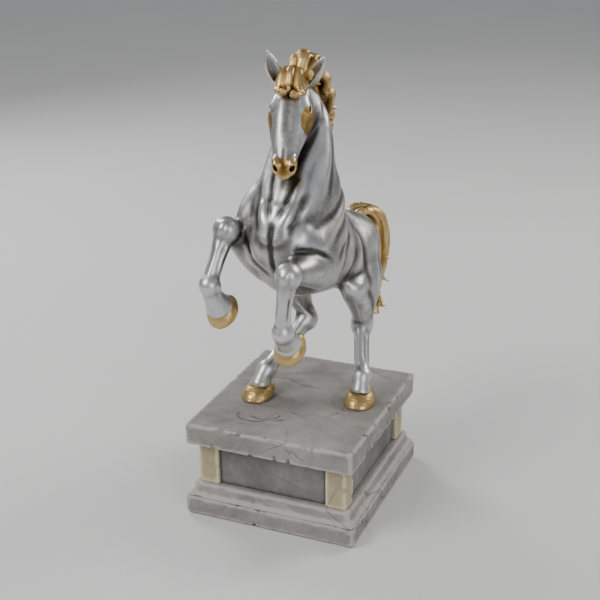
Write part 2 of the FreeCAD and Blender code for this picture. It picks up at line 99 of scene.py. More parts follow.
def smoothed(points, parts):
    """Catmull-Rom points through the rows of a table, with parts steps from each row to the next."""
    p = np.asarray(points, float)
    before = np.vstack([2 * p[:1] - p[1:2], p, 2 * p[-1:] - p[-2:-1]])
    rows = []
    for i in range(len(p) - 1):
        a, b, c, d = before[i : i + 4]
        for k in range(parts):
            t = k / parts
            cubic = (2 * a - 5 * b + 4 * c - d) * t * t + (3 * b - a - 3 * c + d) * t**3
            rows.append(0.5 * (2 * b + (c - a) * t + cubic))
    rows.append(p[-1])
    return np.array(rows)


def blurred(field, radius, rounds=3):
    """A box blur along each axis, repeated so that it nears a Gaussian."""
    half = max(int(round(radius)), 1)
    for _ in range(rounds):
        for axis in range(3):
            margins = [(half + 1, half) if i == axis else (0, 0) for i in range(3)]
            padded = np.pad(field, margins, mode="edge")
            total = np.cumsum(padded, axis=axis, dtype=np.float64)
            high = np.take(total, range(2 * half + 1, total.shape[axis]), axis=axis)
            low = np.take(total, range(0, total.shape[axis] - 2 * half - 1), axis=axis)
            field = ((high - low) / (2 * half + 1)).astype(np.float32)
    return field


class Clay:
    """A block of space held as a grid of signed distances, negative inside."""

    def __init__(self, low, high, step):
        self.low = np.asarray(low, float)
        self.step = step
        self.size = [int(math.ceil((h - l) / step)) + 1 for l, h in zip(low, high)]
        self.field = np.full(self.size, FAR, np.float32)

    def window(self, low, high):
        """The slices and the open grids of coordinates of a box, or None if it misses the block."""
        slices, grids = [], []
        for axis in range(3):
            first = max(int(math.floor((low[axis] - self.low[axis]) / self.step)), 0)
            last = min(int(math.ceil((high[axis] - self.low[axis]) / self.step)) + 1, self.size[axis])
            if first >= last:
                return None
            slices.append(slice(first, last))
            shape = [1, 1, 1]
            shape[axis] = last - first
            values = self.low[axis] + self.step * np.arange(first, last)
            grids.append(values.astype(np.float32).reshape(shape))
        return tuple(slices), grids

    def add(self, slices, distance, soft):
        self.field[slices] = smooth_union(self.field[slices], distance, soft)

    def cut(self, slices, distance, soft):
        self.field[slices] = smooth_join(self.field[slices], -distance, soft)

    # Solids.

    def ellipsoid(self, centre, radii, soft, axes=None, cut=False):
        """axes are three directions for the radii, by default X, Y and Z."""
        centre = np.asarray(centre, float)
        reach = max(radii) * 1.25 + soft * 1.5 + 4
        found = self.window(centre - reach, centre + reach)
        if found is None:
            return
        slices, grids = found
        axes = np.eye(3) if axes is None else np.array([unit(a) for a in axes])
        offsets = [g - c for g, c in zip(grids, centre)]
        near, slope = 0.0, 0.0
        for axis, radius in zip(axes, radii):
            along = sum(float(axis[i]) * offsets[i] for i in range(3))
            near = near + (along / radius) ** 2
            slope = slope + (along / radius**2) ** 2
        near = np.sqrt(near)
        distance = near * (near - 1) / np.maximum(np.sqrt(slope), 1e-4)
        (self.cut if cut else self.add)(slices, distance, soft)

    def tube(
        self,
        centres,
        depths,
        widths,
        heights,
        soft,
        tapers=None,
        side=(1, 0, 0),
        cut=False,
        grain=None,
        dome=1.0,
    ):
        """A loft of ellipses. depths are each section's axis of the half heights. widths go sideways.

        grain is (count, depth, twist): ridges along the tube, turning by twist along its length.
        dome is how far the ends bulge, as a share of their radius.
        """
        centres, depths = np.asarray(centres, float), np.asarray(depths, float)
        count = len(centres)
        tapers = np.zeros(count) if tapers is None else tapers
        sides = np.broadcast_to(np.asarray(side, float), (count, 3))
        normals = []
        for k in range(count):
            normal = np.cross(sides[k], depths[k])
            travel = centres[min(k + 1, count - 1)] - centres[max(k - 1, 0)]
            normals.append(unit(normal) * (1 if np.dot(normal, travel) > 0 else -1))
        reach = np.maximum(widths, heights).max() + max(soft, 1) + 2
        found = self.window(centres.min(0) - reach, centres.max(0) + reach)
        if found is None:
            return
        outer, _ = found
        shape = [s.stop - s.start for s in outer]
        whole = np.full(shape, FAR, np.float32)
        for k in range(count - 1):
            reach = max(widths[k], heights[k], widths[k + 1], heights[k + 1]) + max(soft, 1) + 2
            low = np.minimum(centres[k], centres[k + 1]) - reach
            found = self.window(low, np.maximum(centres[k], centres[k + 1]) + reach)
            if found is None:
                continue
            slices, (x, y, z) = found
            start = dot(x, y, z, centres[k], normals[k])
            end = -dot(x, y, z, centres[k + 1], normals[k + 1])
            t = np.clip(start / np.where(np.abs(start + end) < 1e-3, 1e-3, start + end), 0, 1)
            t = np.where(start < 0, 0, np.where(end < 0, 1, t))
            offset = [g - (a + (b - a) * t) for g, a, b in zip((x, y, z), centres[k], centres[k + 1])]
            depth = [a + (b - a) * t for a, b in zip(depths[k], depths[k + 1])]
            length = np.sqrt(sum(d * d for d in depth))
            v = sum(o * d for o, d in zip(offset, depth)) / length
            flank = [a + (b - a) * t for a, b in zip(sides[k], sides[k + 1])]
            length = np.sqrt(sum(s * s for s in flank))
            u = sum(o * s for o, s in zip(offset, flank)) / length
            width = widths[k] + (widths[k + 1] - widths[k]) * t
            height = heights[k] + (heights[k + 1] - heights[k]) * t
            taper = tapers[k] + (tapers[k + 1] - tapers[k]) * t
            width = width * (1 - taper * np.clip(v / height, -1, 1))
            beyond = np.maximum(np.maximum(-start, -end), 0)
            cap = np.minimum(width, height)
            bulge = cap * dome
            near = np.sqrt((u / width) ** 2 + (v / height) ** 2 + (beyond / bulge) ** 2)
            slope = np.sqrt((u / width**2) ** 2 + (v / height**2) ** 2 + (beyond / bulge**2) ** 2)
            distance = near * (near - 1) / np.maximum(slope, 1e-3)
            if grain:
                ridges, deep, twist = grain
                angle = np.arctan2(v / height, u / width)
                turn = twist * (k + t) / (count - 1)
                distance = distance + deep * np.minimum(cap / 3.0, 1) * np.cos(ridges * angle + turn)
            if k > 0:
                distance = np.where(start < -0.01, FAR, distance)
            if k < count - 2:
                distance = np.where(end < -0.01, FAR, distance)
            local = tuple(slice(s.start - o.start, s.stop - o.start) for s, o in zip(slices, outer))
            whole[local] = np.minimum(whole[local], distance)
        (self.cut if cut else self.add)(outer, whole, soft)

    def limb(self, table, soft, parts=3, grain=None, side=(1, 0, 0)):
        """A tube along a centre line. Its table has x, y, z, half width, half depth."""
        rows = smoothed(table, parts)
        centres = rows[:, :3]
        along = np.gradient(centres, axis=0)
        sides, depths = [], []
        for step in along:
            depth = unit(np.cross(side, step))
            depths.append(depth)
            sides.append(unit(np.cross(step, depth)))
        widths, heights = np.maximum(rows[:, 3:5], 0.2).T
        self.tube(centres, depths, widths, heights, soft, side=sides, grain=grain)

    def profile(self, table, soft, parts=3, dome=1.0):
        """A tube whose sections run between two outlines: y, z, y, z, half width, taper, any middle x."""
        rows = smoothed(table, parts)
        middle = rows[:, 6:7] if rows.shape[1] > 6 else np.zeros((len(rows), 1))
        outer = np.hstack([middle, rows[:, 0:2]])
        inner = np.hstack([middle, rows[:, 2:4]])
        span = outer - inner
        heights = np.linalg.norm(span, axis=1) / 2
        depths = span / (2 * heights[:, None])
        self.tube((outer + inner) / 2, depths, rows[:, 4], heights, soft, tapers=rows[:, 5], dome=dome)

    # Touches that move the surface by a small depth.

    def stroke(self, points, width, depth, sharp=False, fade=0.3):
        """A groove along a line of points near the surface, or a ridge if depth is negative."""
        points = smoothed(points, 3) if len(points) > 2 else np.asarray(points, float)
        reach = width * (5.5 if sharp else 3.2)
        found = self.window(points.min(0) - reach, points.max(0) + reach)
        if found is None:
            return
        slices, (x, y, z) = found
        steps = np.linalg.norm(np.diff(points, axis=0), axis=1)
        marks = np.concatenate([[0], np.cumsum(steps)]) / max(steps.sum(), 1e-6)
        nearest = np.full(self.field[slices].shape, 1e6, np.float32)
        place = np.zeros_like(nearest)
        for k in range(len(points) - 1):
            a, way = points[k], points[k + 1] - points[k]
            t = np.clip(dot(x, y, z, a, way) / max(np.dot(way, way), 1e-6), 0, 1)
            gap = sum((g - (s + w * t)) ** 2 for g, s, w in zip((x, y, z), a, way))
            closer = gap < nearest
            nearest = np.where(closer, gap, nearest)
            place = np.where(closer, marks[k] + t * (marks[k + 1] - marks[k]), place)
        ends = np.clip(np.minimum(place, 1 - place) / max(fade, 1e-3), 0, 1)
        ends = ends * ends * (3 - 2 * ends) * 0.85 + 0.15
        gap = np.sqrt(nearest) / width
        fall = np.exp(-gap * 1.4) if sharp else np.exp(-gap * gap)
        self.field[slices] += depth * fall * ends

    def swell(self, centre, radii, height):
        """A soft bulge about a point, or a hollow if its height is negative."""
        centre = np.asarray(centre, float)
        reach = max(radii) * 3.0
        found = self.window(centre - reach, centre + reach)
        if found is None:
            return
        slices, grids = found
        gap = sum(((g - c) / radius) ** 2 for g, c, radius in zip(grids, centre, radii))
        self.field[slices] -= height * np.exp(-gap)

    def plane(self, point, normal, soft):
        """Takes away what lies beyond a plane."""
        _, (x, y, z) = self.window(self.low, self.low + np.array(self.size) * self.step)
        away = dot(x, y, z, point, unit(normal))
        self.field = smooth_join(self.field, away.astype(np.float32), soft)

    def sample(self, points, field=None):
        """The field at points, by trilinear interpolation."""
        field = self.field if field is None else field
        places = (np.asarray(points, float) - self.low) / self.step
        places = np.clip(places, 0, np.array(self.size) - 1.001)
        whole = places.astype(int)
        part = places - whole
        value = 0.0
        for corner in range(8):
            bits = [(corner >> axis) & 1 for axis in range(3)]
            weight = np.prod([part[:, i] if bits[i] else 1 - part[:, i] for i in range(3)], axis=0)
            value = value + weight * field[tuple(whole[:, i] + bits[i] for i in range(3))]
        return value

    def mesh(self):
        """Points in mm and quads of the surface."""
        grid = openvdb.FloatGrid(FAR)
        grid.copyFromArray(np.ascontiguousarray(self.field))
        points, quads = grid.convertToQuads(isovalue=0.0)
        return points * self.step + self.low, quads


def dot(x, y, z, origin, direction):
    """How far points lie from an origin along a direction."""
    return (
        (x - float(origin[0])) * float(direction[0])
        + (y - float(origin[1])) * float(direction[1])
        + (z - float(origin[2])) * float(direction[2])
    )


# ---------------------------------------------------------------- the horse's proportions

# Trunk, from the buttocks to the breast, as back y, z, then belly y, z, half width, and taper towards the
# back. The neck's rows end with its middle x.
TRUNK = [
    (120, 112, 112, 98, 8, 0.0),
    (119, 124, 100, 86, 20, 0.05),
    (112, 134, 84, 80, 27, 0.14),
    (98, 144, 64, 84, 32.5, 0.16),
    (80, 150, 42, 90, 34.0, 0.2),
    (63, 158, 17, 95, 35.5, 0.2),
    (50, 169, -8, 101, 37, 0.2),
    (41, 183, -31, 109, 36.5, 0.2),
    (28, 198, -47, 123, 33.5, 0.18),
    (2, 202, -57, 137, 28, 0.1),
    (-26, 197, -62, 151, 19, 0.0),
    (-48, 184, -64, 164, 9, 0.0),
]
NECK = [
    (36, 186, -46, 160, 27, 0.1, 0),
    (37, 203, -57, 180, 29, 0.2, 0.5),
    (38, 221, -47, 196, 27.5, 0.2, 1.5),
    (35, 240, -32, 212, 25, 0.2, 1.5),
    (28, 258, -17, 228, 21.5, 0.2, 0.5),
    (17, 273, -6, 242, 17, 0.2, -1.5),
    (6, 281, -8, 252, 12, 0.1, -4),
]
POLL = np.array([-5.5, -4.0, 281.0])
HEAD_PITCH = math.radians(43.0)
HEAD_YAW = math.radians(14.5)
HEAD_AXIS = np.array(
    [
        math.sin(HEAD_YAW) * math.sin(HEAD_PITCH),
        -math.cos(HEAD_YAW) * math.sin(HEAD_PITCH),
        -math.cos(HEAD_PITCH),
    ]
)
HEAD_SIDE = np.array([math.cos(HEAD_YAW), math.sin(HEAD_YAW), 0.0])
HEAD_FACE = np.cross(HEAD_AXIS, HEAD_SIDE)
HEAD_FRAME = (HEAD_AXIS, HEAD_SIDE, HEAD_FACE)
# Sections of the head: distance along, brow height, jaw height, half width, taper towards the brow.
HEAD = [
    (-7, -5, -20, 7, 0.0),
    (-2, -1, -30, 11.5, 0.05),
    (7, 2.5, -34, 15.0, 0.1),
    (18, 4.0, -36, 17.2, 0.05),
    (29, 3.5, -34, 17.4, 0.0),
    (38, 2.5, -29, 15.8, 0.0),
    (48, 1.2, -23, 13.8, -0.03),
    (58, 0.2, -19, 11.0, -0.05),
    (66, -0.5, -17.5, 9.6, -0.05),
    (73, -1.5, -17, 10.2, 0.0),
    (77.5, -4.5, -15.5, 8.6, 0.0),
    (80.5, -8, -13, 4.5, 0.0),
]
EYE = (21.0, 13.0, -7.0)
EYE_RADIUS = 3.5

# Forearms: x, y, z, half width, half depth.
FOREARMS = {
    "right_foreleg": [
        (-22, 6, 120, 11, 15),
        (-27, -9, 128, 13, 18),
        (-32, -25, 141, 12.5, 16.5),
        (-36, -40, 155, 10.5, 12.5),
        (-39, -52, 165, 9.0, 9.5),
        (-40, -58, 169, 8, 8),
    ],
    "left_foreleg": [
        (22, 2, 128, 11, 15),
        (27, -13, 131, 13, 18),
        (29, -32, 136, 13, 17),
        (27, -52, 141, 11, 13),
        (24, -70, 145, 9.0, 9.5),
        (23, -79, 147, 8, 8),
    ],
}
# Thighs: front y, z, back y, z, half width, taper, middle x of the left one, middle x of the right one.
THIGHS = [
    (72, 140, 104, 128, 9, 0, 13, -13),
    (52, 129, 108, 113, 14, 0, 19.5, -20),
    (32, 116, 105, 99, 15.5, 0, 25.5, -26),
    (20, 104, 97, 87, 15.5, 0, 31, -31),
    (22, 90, 86, 77, 13.5, 0, 33, -32),
    (31, 78, 77, 67, 11.0, 0, 34, -29),
    (38, 68, 70, 60, 9.0, 0, 34.5, -24),
    (43, 60, 65, 54, 8.6, 0, 34.5, -19),
    (45, 54, 61, 49, 8.0, 0, 34.5, -17.5),
]
# Below the knee or hock, then below the fetlock: x, y, z, half width, half depth.
SHANKS = {
    "right_foreleg": [
        [
            (-40.5, -61, 169, 7.6, 7.7), (-41.5, -66, 159, 7.6, 7.8), (-42.5, -71, 150, 6.2, 6.8),
            (-44, -78, 139, 6.2, 6.8), (-45, -83, 131, 6.8, 7.2),
        ],
        [
            (-44.6, -83, 129, 7.6, 7.6), (-43.8, -80, 120, 8.0, 8.2), (-42.8, -75.5, 112.5, 10.0, 10.2),
            (-42.2, -73, 109, 11.0, 11.4),
        ],
    ],
    "left_foreleg": [
        [
            (22.5, -82, 146, 7.6, 7.7), (21.6, -84, 136, 7.6, 7.8), (20.6, -84.5, 126, 6.3, 6.8),
            (19.2, -85, 110, 6.4, 6.8), (18.4, -85, 101, 7.0, 7.3),
        ],
        [
            (18.2, -84, 99, 7.8, 7.8), (17.8, -80, 93, 8.4, 8.6), (17.6, -75.5, 88.5, 10.0, 10.2),
            (17.4, -73, 85.5, 11.0, 11.4),
        ],
    ],
    "left_hind_leg": [
        [
            (34, 54, 56, 7.8, 8.8), (36.5, 47, 47, 7.0, 8.0), (40, 38, 38, 6.4, 7.2),
            (44, 27, 28, 6.6, 7.2), (46.5, 20, 21.5, 7.0, 7.2),
        ],
        [
            (47, 18, 21, 7.2, 7.4), (48, 14.5, 16, 7.6, 7.8), (48.4, 12.2, 10.5, 9.0, 9.2),
        ],
    ],
    "right_hind_leg": [
        [
            (-17.5, 50, 54, 7.8, 8.8), (-21, 39, 45.5, 7.0, 8.0), (-26, 27, 37, 6.4, 7.2),
            (-32, 12, 27, 6.6, 7.2), (-35.5, 3, 21.5, 7.0, 7.2),
        ],
        [
            (-36, 1, 21, 7.2, 7.4), (-37.5, -4, 16, 7.6, 7.8), (-38.3, -7.8, 10.5, 9.0, 9.2),
        ],
    ],
}
# Knee or hock, then fetlock: x, y, z, radius.
JOINTS = {
    "right_foreleg": [(-39.8, -60.5, 170.5, 10.6), (-44.6, -84, 130.5, 8.4)],
    "left_foreleg": [(22.5, -82, 147, 10.6), (18.2, -85.5, 99.5, 8.4)],
    "left_hind_leg": [(34, 54, 55, 9.4), (47, 18.5, 21, 8.2)],
    "right_hind_leg": [(-17.5, 50, 53, 9.4), (-36, 1.5, 21, 8.2)],
}
# Where the castings are joined: a point on the seam's plane, and its normal. A seam cuts within its reach.
LEG_SEAMS = {
    "right_foreleg": ((-41.6, -66.5, 156.5), (-0.1, -0.45, -0.88)),
    "left_foreleg": ((21.6, -84, 133.5), (-0.08, -0.1, -0.99)),
    "left_hind_leg": ((33, 52, 76), (0, -0.2, -0.98)),
    "right_hind_leg": ((-32, 52, 76), (0, -0.2, -0.98)),
}
LEG_REACH = {"right_foreleg": 16, "left_foreleg": 15, "left_hind_leg": 36, "right_hind_leg": 36}
WHOLE_REACH = 75
NECK_SEAM = ((0, -9, 192), (0, -0.25, 0.97))
HEAD_SEAM = ((0, 4.5, 250.2), (0, -0.649, 0.761))


def in_head(along, side, face):
    """A place in the head's own axes: from the poll towards the muzzle, to its left, and out of its face."""
    return POLL + HEAD_AXIS * along + HEAD_SIDE * side + HEAD_FACE * face


# ---------------------------------------------------------------- the horse's body


def base_forms(clay, shanks_too=True):
    """The large masses."""
    clay.profile(TRUNK, soft=0, dome=0.3, parts=6)
    clay.profile(NECK, soft=14, parts=5)
    for sign in SIDES:
        shoulder = ((0.15 * sign, -0.62, -0.77), (sign, 0, 0.15), (0, 0.77, -0.62))
        clay.ellipsoid((sign * 20, -8, 170), (44, 15, 25), 12, shoulder)
        clay.ellipsoid((sign * 21, -36, 158), (22, 14, 16), 10, shoulder)
        clay.ellipsoid((sign * 15, 88, 119), (20, 29, 22), 12)
        clay.ellipsoid((sign * 13, -46, 158), (14, 13, 19), 8)
    # The raised foreleg pushes its shoulder out and up.
    clay.ellipsoid((-32, -27, 167), (13, 20, 21), 9)
    clay.ellipsoid((-29, -15, 182), (11, 19, 17), 9)
    for table in FOREARMS.values():
        clay.limb(table, soft=7)
    for column in (6, 7):
        table = [row[:6] + (row[column],) for row in THIGHS]
        clay.profile(table, soft=7)
    if not shanks_too:
        return
    for name, shanks in SHANKS.items():
        for shank in shanks:
            clay.limb(shank, soft=2.5)
        knee, fetlock = JOINTS[name]
        clay.ellipsoid(knee[:3], [knee[3]] * 3, 2.5 if name in FOREARMS else 4)
        clay.ellipsoid(fetlock[:3], [fetlock[3]] * 3, 2.5)


def head_forms(clay):
    """The head, from its poll to its muzzle."""
    along, brow, jaw, widths, tapers = smoothed(HEAD, 3).T
    centres = [in_head(way, 0, middle) for way, middle in zip(along, (brow + jaw) / 2)]
    depths = [HEAD_FACE] * len(centres)
    clay.tube(centres, depths, widths, (brow - jaw) / 2, 5, tapers=tapers, side=HEAD_SIDE)


def build_skin():
    """A coarse copy of the large masses but for the legs below the knees, on which touches are placed."""
    clay = Clay(SKIN_LOW, SKIN_HIGH, SKIN_STEP)
    base_forms(clay, shanks_too=False)
    head_forms(clay)
    return clay


SKIN = build_skin()


def skin_point(start, direction):
    """Where a ray first meets the coarse skin."""
    steps = np.arange(0, RAY_LENGTH, RAY_STEP)
    line = np.asarray(start, float) + steps[:, None] * unit(direction)
    inside = np.nonzero(SKIN.sample(line) < 0)[0]
    return line[inside[0]] if len(inside) else None


def on_front(sign, *points):
    """Points of the skin seen from the front, given as x, z."""
    found = [skin_point((sign * x, SKIN_LOW[1], z), (0, 1, 0)) for x, z in points]
    return [p for p in found if p is not None]


def on_side(sign, *points):
    """Points of the skin seen from one side, given as y, z."""
    found = [skin_point((sign * SKIN_HIGH[0], y, z), (-sign, 0, 0)) for y, z in points]
    return [p for p in found if p is not None]


def on_head(sign, *points):
    """Points about the head, given as along, side, out."""
    return [in_head(along, sign * side, out) for along, side, out in points]


# Touches for one side, mirrored on the other. A fold is its points, width and depth, where a depth under
# 0 is a ridge and True is a sharp crease. A swelling is its middle, radii and height. Points on the front
# are x, z, those on a side are y, z, and those on the head are along, side, out.
BREAST_FOLDS = [
    (((13, 224), (10.5, 208), (6.5, 192), (0.5, 176)), 3.2, 1.9),
    (((17, 216), (14.5, 200), (10, 184), (4, 170)), 4.0, -1.8),
    (((5, 214), (4, 200), (2.5, 187)), 3.1, -0.68),
    (((22, 206), (19.5, 192), (15, 178), (8, 164)), 3.6, 1.05),
    (((22, 160), (17, 147), (9, 136), (2, 130)), 3.6, 1.18),
    (((25, 181), (21, 172), (20, 162), (23, 152)), 2.9, 1.12, True),
]
BREAST_SWELLINGS = [
    ((12, 158), (12, 9, 15), 3.2),
    ((23, 172), (9, 8, 10), 2.2),
]
# These are not mirrored: the middle line, and the creases over and under the forearms.
SINGLE_FOLDS = [
    (((0, 178), (0, 164), (0, 150), (0, 134)), 2.4, 1.9),
    (((0, 222), (0, 206), (0, 190)), 2.9, 0.62),
    (((12, 155), (20, 158), (28, 158), (35, 154), (40, 146)), 2.8, 1.9),
    (((16, 128), (24, 122), (31, 119), (38, 122)), 2.4, 1.3),
    (((-16, 150), (-21, 158), (-28, 166)), 2.4, 1.3),
]
NECK_FOLDS = [
    (((2, 244), (-14, 226), (-32, 208), (-47, 192), (-56, 178)), 3.8, 1.18),
    (((6, 240), (-8, 220), (-24, 203), (-38, 187)), 5.0, -0.93),
    (((15, 246), (3, 224), (-8, 205), (-22, 187)), 4.1, 0.99),
    (((26, 250), (19, 230), (12, 212), (4, 194)), 6.0, 0.62),
    (((31, 246), (29, 228), (26, 212), (24, 200)), 4.2, -0.56),
    (((12, 262), (5, 252), (-1, 243)), 2.6, 0.93),
    (((16, 256), (8, 247), (2, 238)), 2.9, -0.56),
]
SHOULDER_FOLDS = [
    (((36, 197), (14, 188), (-10, 180), (-34, 174), (-50, 168)), 4.6, 1.24),
    (((30, 188), (6, 178), (-18, 168), (-38, 160)), 4.1, -0.87),
    (((31, 181), (10, 171), (-12, 161), (-30, 153)), 3.4, 0.74),
    (((36, 190), (27, 173), (15, 155), (5, 141), (0, 130)), 4.3, 1.80),
    (((43, 184), (35, 168), (24, 149), (15, 134)), 6.0, -1.43),
    (((19, 160), (0, 149), (-14, 143), (-26, 140)), 3.1, 0.87),
    (((4, 133), (-10, 126), (-22, 124)), 3.1, 0.99),
]
FLANK_FOLDS = [
    (((60, 120), (38, 109), (14, 111), (-8, 119), (-22, 124)), 4.4, 0.66),
    (((22, 107), (35, 116), (50, 131), (62, 144)), 4.5, -1.08),
    (((12, 110), (26, 121), (42, 137)), 4.8, 1.26),
]
RIBS = [
    (((44 + 8 * k, 166 - 4 * k), (33 + 8 * k, 144 - 4 * k), (20 + 8 * k, 118 - 3 * k)), 3.0, 0.24)
    for k in range(5)
]
QUARTER_FOLDS = [
    (((68, 142), (56, 122), (46, 103), (42, 88)), 4.5, 1.14),
    (((58, 140), (44, 120), (33, 102), (30, 88)), 6.2, -0.84),
    (((100, 134), (90, 113), (76, 93), (66, 80)), 4.0, 1.14),
    (((84, 136), (74, 116), (62, 96), (55, 82)), 6.9, -0.78),
    (((74, 152), (90, 142), (106, 128)), 4.4, 0.60),
    (((36, 96), (46, 84), (52, 74), (56, 64)), 3.0, 1.02),
    (((30, 92), (38, 80), (44, 70)), 3.8, -0.66),
    (((72, 76), (64, 68), (58, 60)), 2.5, 0.96),
]
SIDE_SWELLINGS = [
    ((8, 152), (10, 14, 11), 2.2),
    ((-42, 160), (9, 9, 9), 2.0),
    ((58, 145), (12, 9, 12), -2.2),
    ((72, 150), (8, 7, 7), 2.4),
    ((26, 97), (8, 8, 9), 2.2),
]
# The lines along the back and between the thighs.
BACK_LINE = [(0, 66, 163), (0, 84, 155), (0, 100, 147), (0, 112, 137)]
THIGH_LINE = [(0, 124, 124), (0, 120, 110), (0, 108, 92), (0, 90, 82)]
# Round the eye, the cheek and the face.
FACE_FOLDS = [
    (((15, 13.5, -6), (21, 14.5, -9.5), (27, 13, -8)), 1.3, 0.8),
    (((26, 13.2, -7), (35, 12, -9.5), (45, 9.5, -11)), 2.0, -1.5),
    (((30, 12.5, -11), (35, 11.5, -17), (33, 10.5, -25), (27, 8, -31)), 2.0, 1.6),
    (((2, 10, -12), (4, 11, -22), (10, 10, -31)), 2.2, 1.5),
    (((16, 6.5, 4), (34, 5.2, 3.5), (52, 4.2, 1.5), (64, 3.6, 0)), 3.0, -0.1),
    (((28, 9.8, -3), (44, 8.6, -5), (58, 7.6, -6)), 2.4, 1.2),
    (((40, 9.6, -14), (52, 8.2, -13), (62, 7.6, -12)), 1.9, -0.8),
]
FACE_SWELLINGS = [
    ((9, 10.5, -1.0), (4.5, 4.5, 4.5), -1.3),
    ((24, 13.5, -20), (10, 10, 10), 2.0),
]
# Over the nostril, and along the lips.
MUZZLE_FOLDS = [
    (((66, 8.4, -2), (69, 9, -7), (73, 8.6, -9.5)), 1.3, 0.7),
    (((81, 0, -11.5), (79, 4.5, -12), (73, 8, -12.8), (66, 8.4, -13)), 0.9, 1.8, True, 0.15),
]
MUZZLE_SWELLINGS = [((66, 8.2, -13), (2.5, 2.5, 2.5), -0.8)]
# These lie on the middle line of the face and of the jaw.
FACE_LINES = [
    (((4, 0, 4), (20, 0, 5), (36, 0, 4), (54, 0, 1)), 4.6, 1.3),
    (((58, 0, 0.5), (68, 0, -0.5), (77, 0, -3.5)), 1.8, 0.5),
    (((8, 0, -34), (26, 0, -33), (44, 0, -24)), 3.4, 2.2),
]


def carve(clay, find, folds, swellings=()):
    """Touches on both sides of the horse. find gives the points of one side."""
    for sign in SIDES:
        for points, *shape in folds:
            clay.stroke(find(sign, *points), *shape)
        for point, radii, height in swellings:
            clay.swell(find(sign, point)[0], radii, height)


def muscles(clay):
    """The folds of the neck, which meet in a V above the breast, and the muscles of body and thighs."""
    carve(clay, on_front, BREAST_FOLDS, BREAST_SWELLINGS)
    carve(clay, on_side, NECK_FOLDS + SHOULDER_FOLDS + FLANK_FOLDS + RIBS + QUARTER_FOLDS, SIDE_SWELLINGS)
    for points, *shape in SINGLE_FOLDS:
        clay.stroke(on_front(1, *points), *shape)
    clay.stroke(BACK_LINE, 4.4, 0.96)
    clay.stroke(THIGH_LINE, 3.8, 1.92)


def lower_legs(clay):
    """Tendons beside the cannon bones, the small bones of the knees, and tufts behind the fetlocks."""
    for name in SHANKS:
        knee, fetlock = (np.array(j[:3], float) for j in JOINTS[name])
        down = unit(fetlock - knee)
        across = unit(np.cross(down, (0, 1, 0))) if abs(down[1]) < 0.9 else np.array([1.0, 0, 0])
        behind = unit(np.cross(across, down))
        if behind[1] < 0:
            behind = -behind
        length = np.linalg.norm(fetlock - knee)
        for sign in SIDES:
            flank = across * sign
            start = knee + down * length * 0.22 + flank * 6.5 + behind * 1.8
            end = fetlock - down * length * 0.16 + flank * 6.7 + behind * 1.8
            middle = (start + end) / 2
            clay.stroke([start, middle - flank * 0.5, end], 1.7, 1.7)
            bone = [start - behind * 3.8, middle - behind * 4.6 - flank * 0.6, end - behind * 3.8]
            clay.stroke(bone, 1.6, -0.7)
            front_start = knee + down * length * 0.24 + flank * 4.9 - behind * 4.3
            front_end = fetlock - down * length * 0.22 + flank * 4.9 - behind * 4.3
            clay.stroke([front_start, (front_start + front_end) / 2, front_end], 1.5, 1.0)
            clay.swell(knee + flank * 8 + down * 3.5, (4.5, 4.5, 4.5), 0.9)
            clay.swell(fetlock + flank * 6 + behind * 3, (3.6, 3.6, 3.6), 0.9)
        front = -behind
        if name in FOREARMS:
            kneecap = [knee + front * 10 - down * 5, knee + front * 11, knee + front * 9 + down * 6]
            clay.stroke(kneecap, 2.6, -0.5)
            for sign in SIDES:
                beside = knee + across * sign * 4
                turn = knee + across * sign * 5 + front * 9.5
                clay.stroke([beside + front * 9 - down * 6, turn, beside + front * 8 + down * 6], 1.6, 0.5)
            clay.ellipsoid(knee + behind * 7.5 + down * 1, (3.6, 4.5, 5), 3)
        else:
            clay.ellipsoid(knee + behind * 6.5 - down * 6.5, (4.2, 6.0, 7.5), 4)
            clay.stroke([knee + behind * 2 - down * 14, knee + behind * 5 - down * 6], 2.0, 0.6)
        clay.ellipsoid(fetlock + behind * 5.5 + down * 1.5, (4.6, 4.6, 5.2), 3)
        shin = [knee + down * 10 + front * 7, (knee + fetlock) / 2 + front * 6, fetlock + front * 6]
        clay.stroke(shin, 2.0, -0.7)


def face(clay):
    """Eyelids, cheeks, nostrils and lips."""
    along, side, out = EYE
    for sign in SIDES:
        brow, lids = on_head(sign, (17, 10.9, -4.4), (along, side - 0.9, out))
        slit = in_head(along + 0.3, sign * (side + 3.2), out)
        clay.ellipsoid(brow, (6.5, 2.5, 2.2), 4.0, HEAD_FRAME)
        clay.ellipsoid(lids, (5.4, 3.8, 4.2), 2.2, HEAD_FRAME)
        clay.ellipsoid(slit, (4.0, 3.2, 2.1), 0.7, HEAD_FRAME, cut=True)
    carve(clay, on_head, FACE_FOLDS, FACE_SWELLINGS)
    for sign in SIDES:
        wing, hole = on_head(sign, (71.5, 6.2, -4.6), (75.8, 6.6, -4.8))
        nostril = (unit(HEAD_AXIS + HEAD_SIDE * sign * 0.45 - HEAD_FACE * 0.2), HEAD_SIDE, HEAD_FACE)
        clay.ellipsoid(wing, (5.2, 3.6, 4.2), 2.4, nostril)
        clay.ellipsoid(hole, (3.2, 1.9, 3.2), 0.8, nostril, cut=True)
    carve(clay, on_head, MUZZLE_FOLDS, MUZZLE_SWELLINGS)
    for points, *shape in FACE_LINES:
        clay.stroke(on_head(1, *points), *shape)


def sculpt(clay):
    """As much of the horse as the clay's window holds."""
    base_forms(clay)
    head_forms(clay)
    clay.field = blurred(clay.field, SOFTENING / clay.step, 2)
    muscles(clay)
    lower_legs(clay)
    face(clay)


# ---------------------------------------------------------------- from clay to pieces


